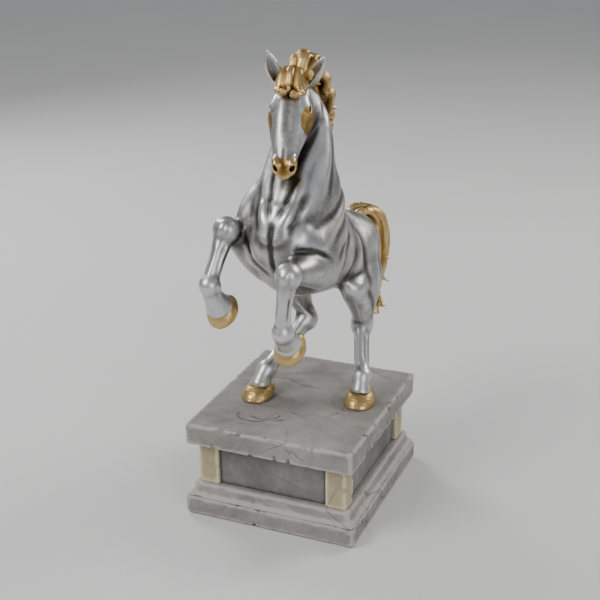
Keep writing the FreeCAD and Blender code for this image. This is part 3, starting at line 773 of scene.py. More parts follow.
def finish_mesh(name, points, quads, attributes):
    """A mesh in metres, with its attributes, from points in mm and quads."""
    points = np.asarray(points, float)
    mesh = bpy.data.meshes.new(name)
    mesh.from_pydata((points * MM + [0, 0, TOP]).tolist(), [], np.asarray(quads).tolist())
    for label, values in attributes:
        made = mesh.attributes.new(label, "FLOAT", "POINT")
        made.data.foreach_set("value", np.asarray(values, np.float32))
    corners = points[np.asarray(quads)]
    volume = np.einsum("ij,ij->i", corners[:, 0], np.cross(corners[:, 1], corners[:, 2])).sum()
    volume += np.einsum("ij,ij->i", corners[:, 0], np.cross(corners[:, 2], corners[:, 3])).sum()
    if volume < 0:
        mesh.flip_normals()
    return mesh


def make_piece(name, clay, node, slot_name, seams=(), seed=None, extra=(), relief=2.2):
    """Meshes a clay, cuts it at its seams, keeps the part that holds the seed, and puts it in the scene.

    A seam is a point, a normal and a reach. extra is a function of the points that gives more attributes.
    """
    points, quads = clay.mesh()
    soft = blurred(clay.field, relief / clay.step)
    attributes = [("relief", clay.sample(points, soft) / relief)]
    if extra:
        attributes += extra(points)
    mesh = finish_mesh(name, points, quads, attributes)
    bm = bmesh.new()
    bm.from_mesh(mesh)
    offset = Vector((0, 0, TOP))
    for point, normal, reach in seams:
        place = Vector(point) * MM + offset
        near = [f for f in bm.faces if (f.calc_center_median() - place).length < reach * MM]
        geometry = set(near)
        for face in near:
            geometry.update(face.edges)
            geometry.update(face.verts)
        cut = bmesh.ops.bisect_plane(
            bm, geom=list(geometry), plane_co=place, plane_no=Vector(unit(normal)), dist=1e-7
        )
        edges = [e for e in cut["geom_cut"] if isinstance(e, bmesh.types.BMEdge)]
        bmesh.ops.split_edges(bm, edges=edges)
    keep_part(bm, Vector(seed) * MM + offset if seed is not None else None)
    rims = [e for e in bm.edges if len(e.link_faces) == 1]
    if rims:
        filled = bmesh.ops.holes_fill(bm, edges=rims, sides=0)
        bmesh.ops.triangulate(bm, faces=filled["faces"])
        for edge in rims:
            edge.smooth = False
    bmesh.ops.recalc_face_normals(bm, faces=bm.faces)
    bm.to_mesh(mesh)
    bm.free()
    piece = place_piece(name, mesh, node, slot_name)
    mesh.normals_split_custom_set_from_vertices(clay_normals(clay, mesh))
    return piece


def clay_normals(clay, mesh):
    """Normals from the clay itself, so that the light runs on over a seam."""
    places = np.empty(len(mesh.vertices) * 3, np.float32)
    mesh.vertices.foreach_get("co", places)
    places = (places.reshape(-1, 3) - [0, 0, TOP]) / MM
    normals = []
    for axis in np.eye(3) * clay.step * 0.8:
        normals.append(clay.sample(places + axis) - clay.sample(places - axis))
    normals = np.array(normals).T
    return normals / np.maximum(np.linalg.norm(normals, axis=1), 1e-6)[:, None]


def keep_part(bm, seed):
    """Deletes all but the connected part whose surface comes nearest the seed, or all but the largest."""
    for vert in bm.verts:
        vert.tag = False
    best, best_score = None, None
    for vert in bm.verts:
        if vert.tag:
            continue
        part, stack = [], [vert]
        vert.tag = True
        while stack:
            now = stack.pop()
            part.append(now)
            for edge in now.link_edges:
                other = edge.other_vert(now)
                if not other.tag:
                    other.tag = True
                    stack.append(other)
        score = -len(part) if seed is None else min((v.co - seed).length for v in part)
        if len(part) > SMALLEST_PART and (best is None or score < best_score):
            best, best_score = part, score
    kept = set(best)
    bmesh.ops.delete(bm, geom=[v for v in bm.verts if v not in kept], context="VERTS")


def place_piece(name, mesh, node, slot_name):
    """Puts a mesh in the scene in the place of its CAD node."""
    piece = bpy.data.objects.new(name, mesh)
    bpy.context.collection.objects.link(piece)
    mesh.shade_smooth()
    mesh.materials.append(MATERIALS[slot_name])
    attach(piece, "root")
    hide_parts(node)
    return piece


# ---------------------------------------------------------------- materials


class Nodes:
    """A short way of wiring a material's nodes."""

    def __init__(self, name):
        self.material = bpy.data.materials.new(name)
        self.material.use_nodes = True
        self.tree = self.material.node_tree
        self.tree.nodes.clear()
        self.output = self.tree.nodes.new("ShaderNodeOutputMaterial")
        self.shader = self.tree.nodes.new("ShaderNodeBsdfPrincipled")
        self.link(self.shader.outputs[0], self.output.inputs["Surface"])
        self.place = self.tree.nodes.new("ShaderNodeTexCoord").outputs["Object"]

    def link(self, start, end):
        self.tree.links.new(start, end)

    def put(self, socket, value):
        if isinstance(value, bpy.types.NodeSocket):
            self.link(value, socket)
        else:
            socket.default_value = value

    def noise(self, scale, detail, roughness=0.55, distortion=0.0, stretch=None):
        """Noise with its scale per metre."""
        node = self.tree.nodes.new("ShaderNodeTexNoise")
        place = self.place
        if stretch:
            mapping = self.tree.nodes.new("ShaderNodeMapping")
            mapping.inputs["Scale"].default_value = stretch
            self.link(place, mapping.inputs["Vector"])
            place = mapping.outputs[0]
        self.link(place, node.inputs["Vector"])
        node.inputs["Scale"].default_value = scale
        node.inputs["Detail"].default_value = detail
        node.inputs["Roughness"].default_value = roughness
        node.inputs["Distortion"].default_value = distortion
        return node.outputs["Fac"]

    def cell_edges(self, scale):
        """The distance to the nearest edge of irregular cells."""
        node = self.tree.nodes.new("ShaderNodeTexVoronoi")
        node.feature = "DISTANCE_TO_EDGE"
        self.link(self.place, node.inputs["Vector"])
        node.inputs["Scale"].default_value = scale
        return node.outputs["Distance"]

    def attribute(self, name):
        node = self.tree.nodes.new("ShaderNodeAttribute")
        node.attribute_name = name
        return node.outputs["Fac"]

    def math(self, operation, a, b):
        node = self.tree.nodes.new("ShaderNodeMath")
        node.operation = operation
        self.put(node.inputs[0], a)
        self.put(node.inputs[1], b)
        return node.outputs[0]

    def varied(self, value, scale, detail, amount):
        """A value made uneven by noise."""
        return self.math("ADD", value, self.range(self.noise(scale, detail), 0.3, 0.7, -amount, amount))

    def ramp(self, value, *stops):
        """A colour ramp from (place, colour) pairs. A colour may be one grey level."""
        node = self.tree.nodes.new("ShaderNodeValToRGB")
        elements = node.color_ramp.elements
        while len(elements) < len(stops):
            elements.new(0.5)
        for element, (place, colour) in zip(elements, stops):
            element.position = place
            element.color = (colour, colour, colour, 1) if isinstance(colour, float) else (*colour, 1)
        self.put(node.inputs[0], value)
        return node.outputs[0]

    def range(self, value, low, high, to_low=0.0, to_high=1.0):
        node = self.tree.nodes.new("ShaderNodeMapRange")
        for socket, number in zip(node.inputs[1:5], (low, high, to_low, to_high)):
            socket.default_value = number
        self.put(node.inputs[0], value)
        return node.outputs[0]

    def mix(self, share, a, b):
        node = self.tree.nodes.new("ShaderNodeMix")
        node.data_type = "RGBA"
        self.put(node.inputs[0], share)
        for socket, colour in ((node.inputs[6], a), (node.inputs[7], b)):
            self.put(socket, (*colour, 1) if isinstance(colour, tuple) else colour)
        return node.outputs[2]

    def bump(self, height, strength, distance, normal=None):
        node = self.tree.nodes.new("ShaderNodeBump")
        node.inputs["Strength"].default_value = strength
        node.inputs["Distance"].default_value = distance
        self.link(height, node.inputs["Height"])
        if normal is not None:
            self.link(normal, node.inputs["Normal"])
        return node.outputs[0]

    def finish(self, colour, roughness, normal=None, metallic=0.0):
        self.put(self.shader.inputs["Base Color"], colour)
        self.put(self.shader.inputs["Roughness"], roughness)
        self.put(self.shader.inputs["Metallic"], metallic)
        if normal is not None:
            self.put(self.shader.inputs["Normal"], normal)
        return self.material


def gold_colour(look, relief):
    """Antique gilding: bright on the ridges, brown in the recesses, and blotched."""
    worn = look.varied(relief, 95, 5, 0.10)
    tone = look.ramp(
        look.range(worn, -0.32, 0.32),
        (0.0, (0.030, 0.015, 0.006)),
        (0.28, (0.135, 0.070, 0.020)),
        (0.55, (0.30, 0.180, 0.055)),
        (0.90, (0.60, 0.42, 0.18)),
    )
    return look.mix(look.range(look.noise(40, 4), 0.45, 0.75, 0.0, 0.45), tone, (0.33, 0.205, 0.078))


def silver_material(name, gilded=False):
    """Silvered bronze: grey and satin, dark in the recesses and worn bright on the ridges."""
    look = Nodes(name)
    relief = look.attribute("relief")
    blotch = look.noise(28, 5, 0.6)
    fine = look.noise(320, 6, 0.65)
    worn = look.math("ADD", relief, look.range(fine, 0.3, 0.7, -0.05, 0.05))
    tone = look.ramp(
        look.range(worn, -0.28, 0.28),
        (0.0, (0.028, 0.025, 0.023)),
        (0.30, (0.135, 0.130, 0.124)),
        (0.50, (0.30, 0.298, 0.294)),
        (0.82, (0.64, 0.642, 0.648)),
    )
    tone = look.mix(look.range(blotch, 0.42, 0.72, 0.0, 0.40), tone, (0.225, 0.214, 0.200))
    uneven = look.math("ADD", look.noise(60, 6), look.math("MULTIPLY", relief, -0.30))
    rough = look.range(uneven, 0.25, 0.8, 0.30, 0.48)
    if gilded:
        gilt = look.varied(look.attribute("gilt"), 150, 5, 0.16)
        tone = look.mix(look.range(gilt, 0.36, 0.60), tone, gold_colour(look, relief))
    skin = look.bump(look.noise(900, 5), 0.10, 0.0004)
    skin = look.bump(look.noise(160, 4), 0.12, 0.0012, skin)
    return look.finish(tone, rough, skin, 1.0)


def gilding_material(name):
    look = Nodes(name)
    relief = look.attribute("relief")
    uneven = look.math("ADD", look.noise(80, 6), look.math("MULTIPLY", relief, -0.4))
    rough = look.range(uneven, 0.2, 0.8, 0.32, 0.58)
    skin = look.bump(look.noise(700, 5), 0.16, 0.0005)
    return look.finish(gold_colour(look, relief), rough, skin, 1.0)


def stone_material(name, dark, middle, pale, edges_shaded=False):
    """Weathered stone, paler along its edges as a painted highlight, or darker there as painted shade, and
    darker in its hollows.
    """
    look = Nodes(name)
    relief = look.attribute("relief")
    clouds = look.noise(14, 8, 0.62, 0.6)
    veins = look.noise(38, 10, 0.7, 1.4)
    grain = look.noise(420, 8, 0.7)
    tone = look.ramp(
        look.math("ADD", look.math("MULTIPLY", clouds, 0.65), look.math("MULTIPLY", veins, 0.35)),
        (0.34, dark),
        (0.50, middle),
        (0.66, pale),
    )
    # Along the edges: a painted highlight, paler than the stone, or for shaded edges a painted shade, darker
    # than it.
    edge = look.range(look.varied(relief, 110, 6, 0.10), 0.10, 0.34)
    rim = tuple(c * 0.45 for c in dark) if edges_shaded else tuple(min(c * 1.55, 0.8) for c in pale)
    tone = look.mix(look.math("MULTIPLY", edge, 0.62), tone, rim)
    # Darker in the hollows.
    hollow_dark = look.range(look.varied(relief, 70, 6, 0.07), -0.06, -0.22)
    tone = look.mix(look.math("MULTIPLY", hollow_dark, 0.8), tone, tuple(c * 0.32 for c in dark))
    tone = look.mix(look.range(grain, 0.55, 0.75, 0.0, 0.25), tone, dark)
    crack = look.range(look.cell_edges(22), 0.0, 0.018, 1.0, 0.0)
    crack = look.math("MULTIPLY", crack, look.range(look.noise(18, 4), 0.52, 0.62))
    tone = look.mix(look.math("MULTIPLY", crack, 0.55), tone, tuple(c * 0.35 for c in dark))
    skin = look.bump(grain, 0.28, 0.0006)
    skin = look.bump(look.noise(90, 8, 0.65), 0.30, 0.0018, skin)
    rough = look.range(look.noise(50, 5), 0.3, 0.7, 0.62, 0.82)
    return look.finish(tone, rough, skin)


def enamel_material(name):
    look = Nodes(name)
    tone = look.ramp(look.noise(900, 3), (0.3, (0.008, 0.006, 0.005)), (0.8, (0.035, 0.022, 0.014)))
    return look.finish(tone, look.range(look.noise(500, 3), 0.3, 0.7, 0.08, 0.18))


def fixing_material(name):
    look = Nodes(name)
    tone = look.ramp(look.noise(200, 5), (0.3, (0.42, 0.31, 0.13)), (0.7, (0.66, 0.52, 0.27)))
    turned = look.bump(look.noise(600, 3, stretch=(1, 1, 9)), 0.2, 0.0004)
    return look.finish(tone, look.range(look.noise(90, 4), 0.3, 0.7, 0.25, 0.45), turned, 1.0)


def felt_material(name):
    look = Nodes(name)
    fibres = look.noise(1500, 8, 0.8)
    tone = look.ramp(look.noise(300, 8, 0.8), (0.3, (0.018, 0.030, 0.022)), (0.7, (0.055, 0.085, 0.062)))
    look.shader.inputs["Sheen Weight"].default_value = 0.5
    return look.finish(tone, look.range(fibres, 0.2, 0.8, 0.85, 1.0), look.bump(fibres, 0.6, 0.0008))


MATERIALS = {
    "horse_metal": silver_material("silvered_bronze"),
    "gilded_head": silver_material("silvered_bronze_gilded_in_part", gilded=True),
    "gilding": gilding_material("antique_gilding"),
    # Each stone gets a painted highlight along its edges, but the panels' edges get painted shade.
    "plinth_stone": stone_material(
        "weathered_stone", (0.150, 0.139, 0.130), (0.245, 0.230, 0.215), (0.345, 0.325, 0.300)
    ),
    "post_stone": stone_material(
        "pale_stone", (0.20, 0.16, 0.095), (0.36, 0.305, 0.19), (0.48, 0.42, 0.285)
    ),
    "panel_stone": stone_material(
        "dark_stone", (0.085, 0.080, 0.077), (0.155, 0.149, 0.144), (0.24, 0.232, 0.224), edges_shaded=True
    ),
    "eye_enamel": enamel_material("black_enamel"),
    "fixings": fixing_material("turned_brass"),
    "felt": felt_material("felt_pile"),
}


# ---------------------------------------------------------------- ears, hair and hooves

EAR_TIPS = {"left_ear": (24.5, -8, 301), "right_ear": (-23.5, -11, 304)}
# Share of the length, half width, half thickness.
EAR = [
    (0, 4.6, 4.6),
    (0.18, 5.6, 4.8),
    (0.42, 6.4, 4.2),
    (0.62, 5.6, 3.4),
    (0.8, 3.7, 2.3),
    (0.92, 2.0, 1.3),
    (1.0, 0.5, 0.4),
]


def make_ear(name, sign):
    """A leaf-shaped ear, hollowed towards the front, with a rolled rim."""
    tip = np.array(EAR_TIPS[name], float)
    root = in_head(1, sign * 9, -7)
    along = tip - root
    opening = np.array([-0.45 * sign, -1.0, 0.1])
    opening = unit(opening - unit(along) * np.dot(opening, unit(along)))
    across = unit(np.cross(along, opening))
    rows = smoothed(EAR, 4)
    outwards = np.array([sign, 0.3, 0]) * 1.6
    centres = [root + along * t + outwards * math.sin(math.pi * min(max(t, 0), 1)) for t, w, h in rows]
    low = np.minimum(root, tip) - 9
    clay = Clay(low, np.maximum(root, tip) + 9, 0.4 * COARSE)
    widths, heights = np.maximum(rows[:, 1], 0.4), np.maximum(rows[:, 2], 0.3)
    clay.tube(centres, [opening] * len(rows), widths, heights, 0, side=across, dome=0.6)
    inner = [k for k in range(len(rows)) if 0.2 < rows[k, 0] < 0.93]
    hollow = [centres[k] + opening * rows[k, 2] * 0.85 for k in inner]
    widths, heights = rows[inner, 1] * 0.66, rows[inner, 2] * 0.60
    clay.tube(hollow, [opening] * len(inner), widths, heights, 0.7, side=across, cut=True, dome=0.8)
    for shift in (-0.35, 0.0, 0.35):
        line = [centres[k] + across * rows[k, 1] * shift - opening * rows[k, 2] * 0.1 for k in inner]
        clay.stroke(line, 0.7, 0.35)
    make_piece(name + "_leaf", clay, name, "horse_metal", relief=1.4)


def make_eye(name, sign):
    """A polished ball, domed a little at its pupil."""
    along, side, out = EYE
    centre = in_head(along, sign * side, out)
    clay = Clay(centre - 6, centre + 6, 0.3 * COARSE)
    clay.ellipsoid(centre, [EYE_RADIUS] * 3, 0)
    clay.swell(centre + HEAD_SIDE * sign * EYE_RADIUS, (1.8, 1.8, 1.8), 0.35)
    make_piece(name + "_ball", clay, name, "eye_enamel")


# Middle of the coronet, middle of the sole, way to the toe, whether it stands on its sole.
HOOVES = {
    "left_hind_hoof": ((48.5, 11.5, 11.5), (49, 8, 0), (0.1, -1, 0), True),
    "right_hind_hoof": ((-38.5, -8.5, 11.5), (-39, -12, 0), (-0.15, -1, 0), True),
    "left_fore_hoof": ((17.5, -72.5, 85.5), (17.2, -66.8, 78), (0, -0.79, -0.61), False),
    "right_fore_hoof": ((-42.2, -73.5, 109.5), (-41.6, -66.5, 102), (0, -0.71, -0.70), False),
}
# Share of the height, half width, half length, shift towards the toe.
HOOF_WALL = [
    (0.0, 8.0, 8.4, 0.0),
    (0.12, 10.2, 10.8, 0.2),
    (0.4, 12.2, 13.2, 1.0),
    (0.75, 13.2, 14.6, 1.5),
    (1.05, 13.2, 14.8, 1.6),
]


def make_hoof(node, coronet, sole, toe, solid_sole):
    """A hoof with a rounded wall. A raised hoof shows its sole, with a frog."""
    coronet, sole, toe = (np.array(v, float) for v in (coronet, sole, unit(toe)))
    down = np.array([0, 0, -1.0]) if solid_sole else unit(sole - coronet)
    toe = unit(toe - down * np.dot(toe, down))
    side = unit(np.cross(toe, down))
    clay = Clay(np.minimum(coronet, sole) - 20, np.maximum(coronet, sole) + 20, 0.5 * COARSE)
    rows = smoothed(HOOF_WALL, 3)
    centres = [coronet + (sole - coronet) * t + toe * shift for t, w, h, shift in rows]
    clay.tube(centres, [toe] * len(rows), rows[:, 1], rows[:, 2], 0, side=side, dome=0.3)
    clay.plane(sole, down, 1.2)
    for sign in SIDES:
        clay.ellipsoid(coronet + down * 5 - toe * 7.5 + side * sign * 5, (5, 4.5, 6.0), 3, (side, toe, down))
    clay.ellipsoid(coronet + down * 9 - toe * 14.5, (1.6, 3.0, 9), 2.5, (side, toe, down), cut=True)
    _, (x, y, z) = clay.window(clay.low - 1, clay.low + 60)
    height = dot(x, y, z, coronet, down) + 0.25 * dot(x, y, z, coronet, toe)
    growth_rings = 0.05 * np.cos(height * 2.4)
    clay.field += growth_rings + 0.22 * lattice_noise(clay, 4.5, 11) + 0.10 * lattice_noise(clay, 2, 12)
    if not solid_sole:
        clay.ellipsoid(sole + down * 1.6, (10.2, 11.2, 4.2), 0.8, (side, toe, down), cut=True)
        clay.ellipsoid(sole - toe * 3.0, (2.8, 7.5, 2.6), 1.2, (side, toe, down))
    make_piece(node + "_wall", clay, node, "gilding")


def lattice_noise(clay, cell, seed):
    """Smooth noise from about -1 to 1, with lumps about a cell wide."""
    counts = [int(size * clay.step / cell) + 3 for size in clay.size]
    values = np.random.default_rng(seed).uniform(-1, 1, counts)
    for axis in range(3):
        places = np.arange(clay.size[axis]) * clay.step / cell
        whole = places.astype(int)
        part = places - whole
        part = part * part * (3 - 2 * part)
        shape = [1, 1, 1]
        shape[axis] = -1
        part = part.reshape(shape)
        values = np.take(values, whole, axis) * (1 - part) + np.take(values, whole + 1, axis) * part
    return values.astype(np.float32)


def add_lock(clay, points, width, thickness, side, soft):
    """A lock of hair: flat, grooved along its length, and drawn out to a point."""
    swelling = np.array([0.6, 0.95, 1.0, 0.92, 0.70, 0.16])
    shares = np.linspace(0, 1, len(points))
    swelling = np.interp(shares, np.linspace(0, 1, len(swelling)), swelling)
    table = [(*p, width * w, thickness * w) for p, w in zip(points, swelling)]
    clay.limb(table, soft, 4, grain=(4, 0.30, 1.6), side=side)


def add_curl(clay, start, out, fall, size, bend, thickness):
    """A thick lock that rises from the crest, rolls outwards, falls, and turns up at its end."""
    start, out, fall = (np.array(v, float) for v in (start, unit(out), unit(fall)))
    points = [
        start - out * 1.5,
        start + out * size * 0.30 - fall * size * 0.10,
        start + out * size * 0.62 + fall * size * 0.05,
        start + out * size * 0.86 + fall * size * 0.34,
        start + out * size * 0.84 + fall * size * 0.66,
        start + out * size * (0.70 + 0.12 * bend) + fall * size * 0.92,
        start + out * size * (0.80 + 0.35 * bend) + fall * size * 1.16,
    ]
    add_lock(clay, points, size * 0.27, thickness, np.cross(out, fall), 1.4)


# On the left side, then on the right: share of the way down the crest, and size of the curl.
LEFT_CURLS = {0.02: 11, 0.10: 15, 0.18: 16, 0.26: 22, 0.35: 18, 0.44: 22, 0.54: 17, 0.63: 17, 0.72: 14}
LEFT_CURLS |= {0.81: 12, 0.90: 9}
RIGHT_CURLS = {0.04: 11, 0.13: 15, 0.22: 15, 0.31: 20, 0.40: 16, 0.49: 19, 0.58: 15, 0.67: 15}
RIGHT_CURLS |= {0.77: 12, 0.86: 10}
# Locks of the tuft: lean, height, half width, setback.
TUFT = [
    (-9, 11, 4.6, 5),
    (-6, 17, 5.0, 2),
    (-2, 20, 5.2, 5),
    (2, 18, 5.4, 0),
    (6, 17, 5.2, 6),
    (9, 13, 4.8, 2),
]


def make_mane():
    """Thick curls that roll from the crest to both sides of the neck, with a tall tuft over the poll."""
    clay = Clay((-34, -22, 182), (38, 70, 316), 0.6 * COARSE)
    crest = smoothed([(0, 279), (9, 281), (19, 273), (29, 258), (35.5, 241), (38, 222), (37, 207)], 6)
    ways = np.gradient(crest, axis=0)
    clay.limb([(0, y, z, 9.5 - 4.5 * k / 9, 7.5 - 3 * k / 9) for k, (y, z) in enumerate(crest[::4])], 2)
    rng = np.random.default_rng(4)
    for sign, curls in ((1, LEFT_CURLS), (-1, RIGHT_CURLS)):
        for share, size in curls.items():
            spot = int(share * (len(crest) - 1))
            way = unit((0, *ways[spot]))
            rise = np.array([0, -way[2], way[1]])
            base = np.array([0, *crest[spot]]) + rise * (3.0 - 2 * share)
            outwards = np.array([sign, 0, 0])
            out = outwards + rise * (0.35 + rng.uniform(-0.15, 0.2))
            fall = way * (0.5 + rng.uniform(-0.3, 0.3)) - (0, 0, 1) - outwards * 0.12
            add_curl(clay, base, out, fall, size * 0.82, rng.uniform(-0.6, 1.0), 4.2 - 1.4 * share)
    # The tuft between the ears: locks that sweep up and over to the horse's left.
    for lean, height, width, back in TUFT:
        points = [
            (lean * 0.4 - 1, 7, 274),
            (lean * 0.75 - 1, 1 + back * 0.3, 281),
            (lean * 0.95, -1 + back * 0.5, 277 + height * 0.62),
            (lean + 1, 3 + back, 279 + height),
            (lean + 3, 9 + back, 277.5 + height),
            (lean + 4, 15 + back, 273 + height * 0.7),
        ]
        add_lock(clay, points, width, 4.4, (1, 0, 0), 1.4)
    add_lock(clay, [(0, 3, 286), (0, 2, 294), (-0.5, 3, 299), (-1.5, 4, 303.5)], 2.6, 2.4, (1, 0, 0), 1.2)
    make_piece("mane_locks", clay, "mane", "gilding", relief=1.8)


# Side at the root, side at the end, length, half width, height above the brow.
LOBES = [
    (-3, -5.4, 14, 5.4, 7.4),
    (3.5, 5.6, 16, 6.2, 7.8),
    (0.5, 0.2, 12, 3.2, 9.0),
    (6, 11, 12, 3.0, 5.5),
    (-6, -10, 11, 2.8, 5.0),
]


def make_forelock():
    """Two broad lobes that sweep over the brow and roll up at their ends."""
    clay = Clay((-26, -46, 250), (28, 16, 302), 0.5 * COARSE)
    for root, end, length, width, height in LOBES:
        points = [
            in_head(-10, root, 1),
            in_head(-6, root * 1.1, height * 0.75),
            in_head(0, (root + end) / 2, height + 0.6),
            in_head(length * 0.55, end * 0.9, height),
            in_head(length * 0.92, end, height - 1.2),
            in_head(length + 2.8, end * 0.95, height + 0.6),
            in_head(length + 2.6, end * 0.8, height + 3.4),
            in_head(length + 0.6, end * 0.7, height + 4.2),
        ]
        add_lock(clay, points, width, 3.4, HEAD_SIDE, 0.9)
    make_piece("forelock_locks", clay, "forelock", "gilding", relief=1.8)


TAIL = [
    (0, 106, 121),
    (2, 115, 132),
    (8, 124, 137),
    (15, 130, 131),
    (20, 132, 117),
    (22, 130, 100),
    (22, 126, 84),
    (21, 121, 69),
    (20, 116, 58),
    (22, 112, 49),
]
# Locks of the tip: across, back, drop, half width.
TAIL_TIPS = [(6, -4, 21, 5.0), (1, -8, 19, 5.2), (9, 1, 15, 4.6), (-4, -6, 17, 4.4)]


def make_tail():
    """Long waving locks about the tail's middle line, some ending early in wisps."""
    clay = Clay((-22, 82, 18), (54, 164, 160), 0.7 * COARSE)
    middle = smoothed(TAIL, 4)
    core = [(*p, 6.5 - 3.5 * k / len(middle), 6.0 - 3.5 * k / len(middle)) for k, p in enumerate(middle)]
    clay.limb(core[:-3], 2)
    rng = np.random.default_rng(9)
    count = 13
    for k in range(count):
        angle = 2 * math.pi * k / count
        end = int(len(middle) * (0.62 + 0.38 * ((k * 5) % count) / (count - 1)))
        phase = rng.uniform(0, 6.28)
        path = []
        for j in range(end):
            share = j / (len(middle) - 1)
            swell = min(share / 0.20, 1.0) * (1.0 - 0.30 * max(share - 0.55, 0) / 0.45)
            wave = 1.8 * math.sin(8.0 * share + phase) * swell
            reach = 7.2 * swell
            away = (math.cos(angle) * (reach + wave), math.sin(angle) * (reach * 0.9 + wave), 0.4 * wave)
            path.append(middle[j] + away)
        flare = np.array([math.cos(angle), math.sin(angle), -0.5])
        path += [path[-1] + flare * 2.5 + (0, 0, -2.5), path[-1] + flare * 6.0 + (0, 0, -2.0)]
        add_lock(clay, path[::3] + [path[-1]], 5.2, 3.6, unit((math.sin(angle), -math.cos(angle), 0)), 1.2)
    # The tip: broad leaf-shaped locks that fan out and turn up.
    tip = middle[-7]
    for across, back, drop, width in TAIL_TIPS:
        points = [tip + (0, 0, 6), tip + (across * 0.5, back * 0.2, -drop * 0.3)]
        points += [tip + (across * 0.35, back * 0.8, -drop * 0.65), tip + (across, back, -drop)]
        points += [tip + (across * 1.5, back * 1.1, -drop * 1.08)]
        add_lock(clay, points, width, 3.4, (0.8, 0.6, 0), 1.2)
    make_piece("tail_locks", clay, "tail", "gilding", relief=1.8)


# ---------------------------------------------------------------- the plinth


def make_stone(node, slot_name, outline, step, seed, chips, marks=(), soft=1.4):
    """A block whose half widths may vary with height, weathered along its edges.

    outline is (height, half x, half y) rows from the bottom up, about the node's own middle.
    """
    low, high = (np.array(c) / MM - [0, 0, TOP / MM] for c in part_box(node))
    middle = (low + high) / 2
    clay = Clay(low - 4, high + 4, step * COARSE)
    _, (x, y, z) = clay.window(low - 5, high + 5)
    half = (high - low)[:2] / 2
    rows = np.array(outline if outline else [(low[2], *half), (high[2], *half)])
    half_x = np.interp(z, rows[:, 0], rows[:, 1])
    half_y = np.interp(z, rows[:, 0], rows[:, 2])
    sides = smooth_join(np.abs(x - middle[0]) - half_x, np.abs(y - middle[1]) - half_y, soft)
    ends = np.abs(z - middle[2]) - (high[2] - low[2]) / 2
    clay.field = smooth_join(sides, ends + np.zeros_like(sides), soft).astype(np.float32)
    edge = np.clip((blurred(clay.field, 2.5 / clay.step) - clay.field) / 0.8, 0, 1)
    lumps = lattice_noise(clay, 7.0, seed)
    crumbs = lattice_noise(clay, 2.6, seed + 1)
    chipped = np.clip(lumps * 1.7 + crumbs * 0.7 - 0.75, 0, 1) * 1.7 + 0.25 * np.clip(crumbs, 0, 1)
    clay.field += chips * edge * chipped
    clay.field += 0.12 * lattice_noise(clay, 14.0, seed + 2) + 0.05 * crumbs
    for points, width, depth in marks:
        clay.stroke(points, width, depth, True, 0.15)
    make_piece(node + "_stone", clay, node, slot_name)


# Two shallow nested arcs, carved in the open front of the cap: x, y.
ARCS = [
    [(-36, -42), (-41, -49), (-34, -56), (-20, -55), (-6, -49), (5, -41)],
    [(-31, -46), (-24, -50), (-14, -49), (-6, -42), (-8, -35)],
]
CRACKS = [
    [(-62, -8), (-44, -22), (-20, -26), (4, -31), (30, -28), (52, -38), (74, -34)],
    [(-72, 30), (-50, 24), (-30, 30), (-8, 22), (20, 26), (44, 40), (73, 44)],
    [(-10, -30), (-16, -52), (-34, -66), (-38, -81)],
    [(30, -30), (40, -10), (36, 12), (50, 30)],
]
TOOL_MARK = [(-12, 6), (10, -4), (34, -12), (60, -16)]
# Cracks down the front face, x, z, and down the left face, y, z.
FRONT_CRACK = [(14, -3), (20, -8), (24, -7), (31, -13), (36, -12)]
CORNER_CRACK = [(-52, -2), (-46, -9), (-38, -11), (-30, -17)]
LEFT_CRACK = [(-40, -2), (-28, -8), (-12, -10), (0, -17)]
# The moulding, a hollow and a small step: share of the height, share of the way in to the posts.
OGEE = [
    (0, 0),
    (0.06, 0.03),
    (0.14, 0.12),
    (0.24, 0.30),
    (0.36, 0.47),
    (0.48, 0.56),
    (0.60, 0.60),
    (0.63, 0.66),
    (0.95, 0.68),
    (1, 0.72),
]
LIP = 2.0


def cap_marks():
    """What is carved or cracked in the cap: points, width and depth."""
    front, left = -CAP_DEPTH / 2, CAP_WIDTH_MM / 2
    marks = [([(x, y, 0) for x, y in arc], 1.4, 1.3) for arc in ARCS]
    marks += [([(x + 1, y - 3, 0) for x, y in arc], 1.8, -0.6) for arc in ARCS]
    marks.append(([(x, y, 0) for x, y in TOOL_MARK], 2.0, -0.6))
    marks += [([(x, y, 0) for x, y in crack], 0.8, 0.9) for crack in CRACKS]
    marks.append(([(x, front, z) for x, z in FRONT_CRACK], 0.9, 0.9))
    marks.append(([(x, front, z) for x, z in CORNER_CRACK], 0.8, 0.8))
    marks.append(([(left, y, z) for y, z in LEFT_CRACK], 0.8, 0.9))
    return marks


def make_plinth():
    """The cap, slab, moulding, posts and panels. Each stone has its own seed."""
    make_stone("cap", "plinth_stone", None, 0.9, 21, 0.8, cap_marks())
    make_stone("slab", "plinth_stone", None, 0.9, 31, 1.0)

    low, high = (np.array(c) / MM - [0, 0, TOP / MM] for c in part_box("moulding"))
    foot = high[:2] + LIP
    head = np.array(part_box("post_back_left")[1])[:2] / MM + 1
    height = high[2] - low[2]
    outline = [(low[2] + height * rise, *(foot + (head - foot) * inwards)) for rise, inwards in OGEE]
    make_stone("moulding", "plinth_stone", outline, 0.85, 41, 0.4, soft=0.8)
    for k, corner in enumerate(("front_left", "front_right", "back_left", "back_right")):
        make_stone("post_" + corner, "post_stone", None, 0.7, 51 + 3 * k, 0.4, soft=1.0)
    for k, face_name in enumerate(("front", "back", "left", "right")):
        make_stone("panel_" + face_name, "panel_stone", None, 0.9, 71 + 3 * k, 0.3, soft=1.0)


def dress_fixings():
    """Materials for the CAD pieces that stay as they are."""
    for entry in frame["record"]["subparts"]:
        if entry["material_slot"] in ("fixings", "felt"):
            mesh = frame["nodes"][entry["node"]].data
            mesh.materials.clear()
            mesh.materials.append(MATERIALS[entry["material_slot"]])


# ---------------------------------------------------------------- pieces


def body_piece(name, low, high, step, seams, seed):
    """Sculpts one casting within a window, and keeps what is joined to its seed."""
    clay = Clay(low, high, step * COARSE)
    sculpt(clay)
    make_piece(name + "_casting", clay, name, "horse_metal", seams, seed)


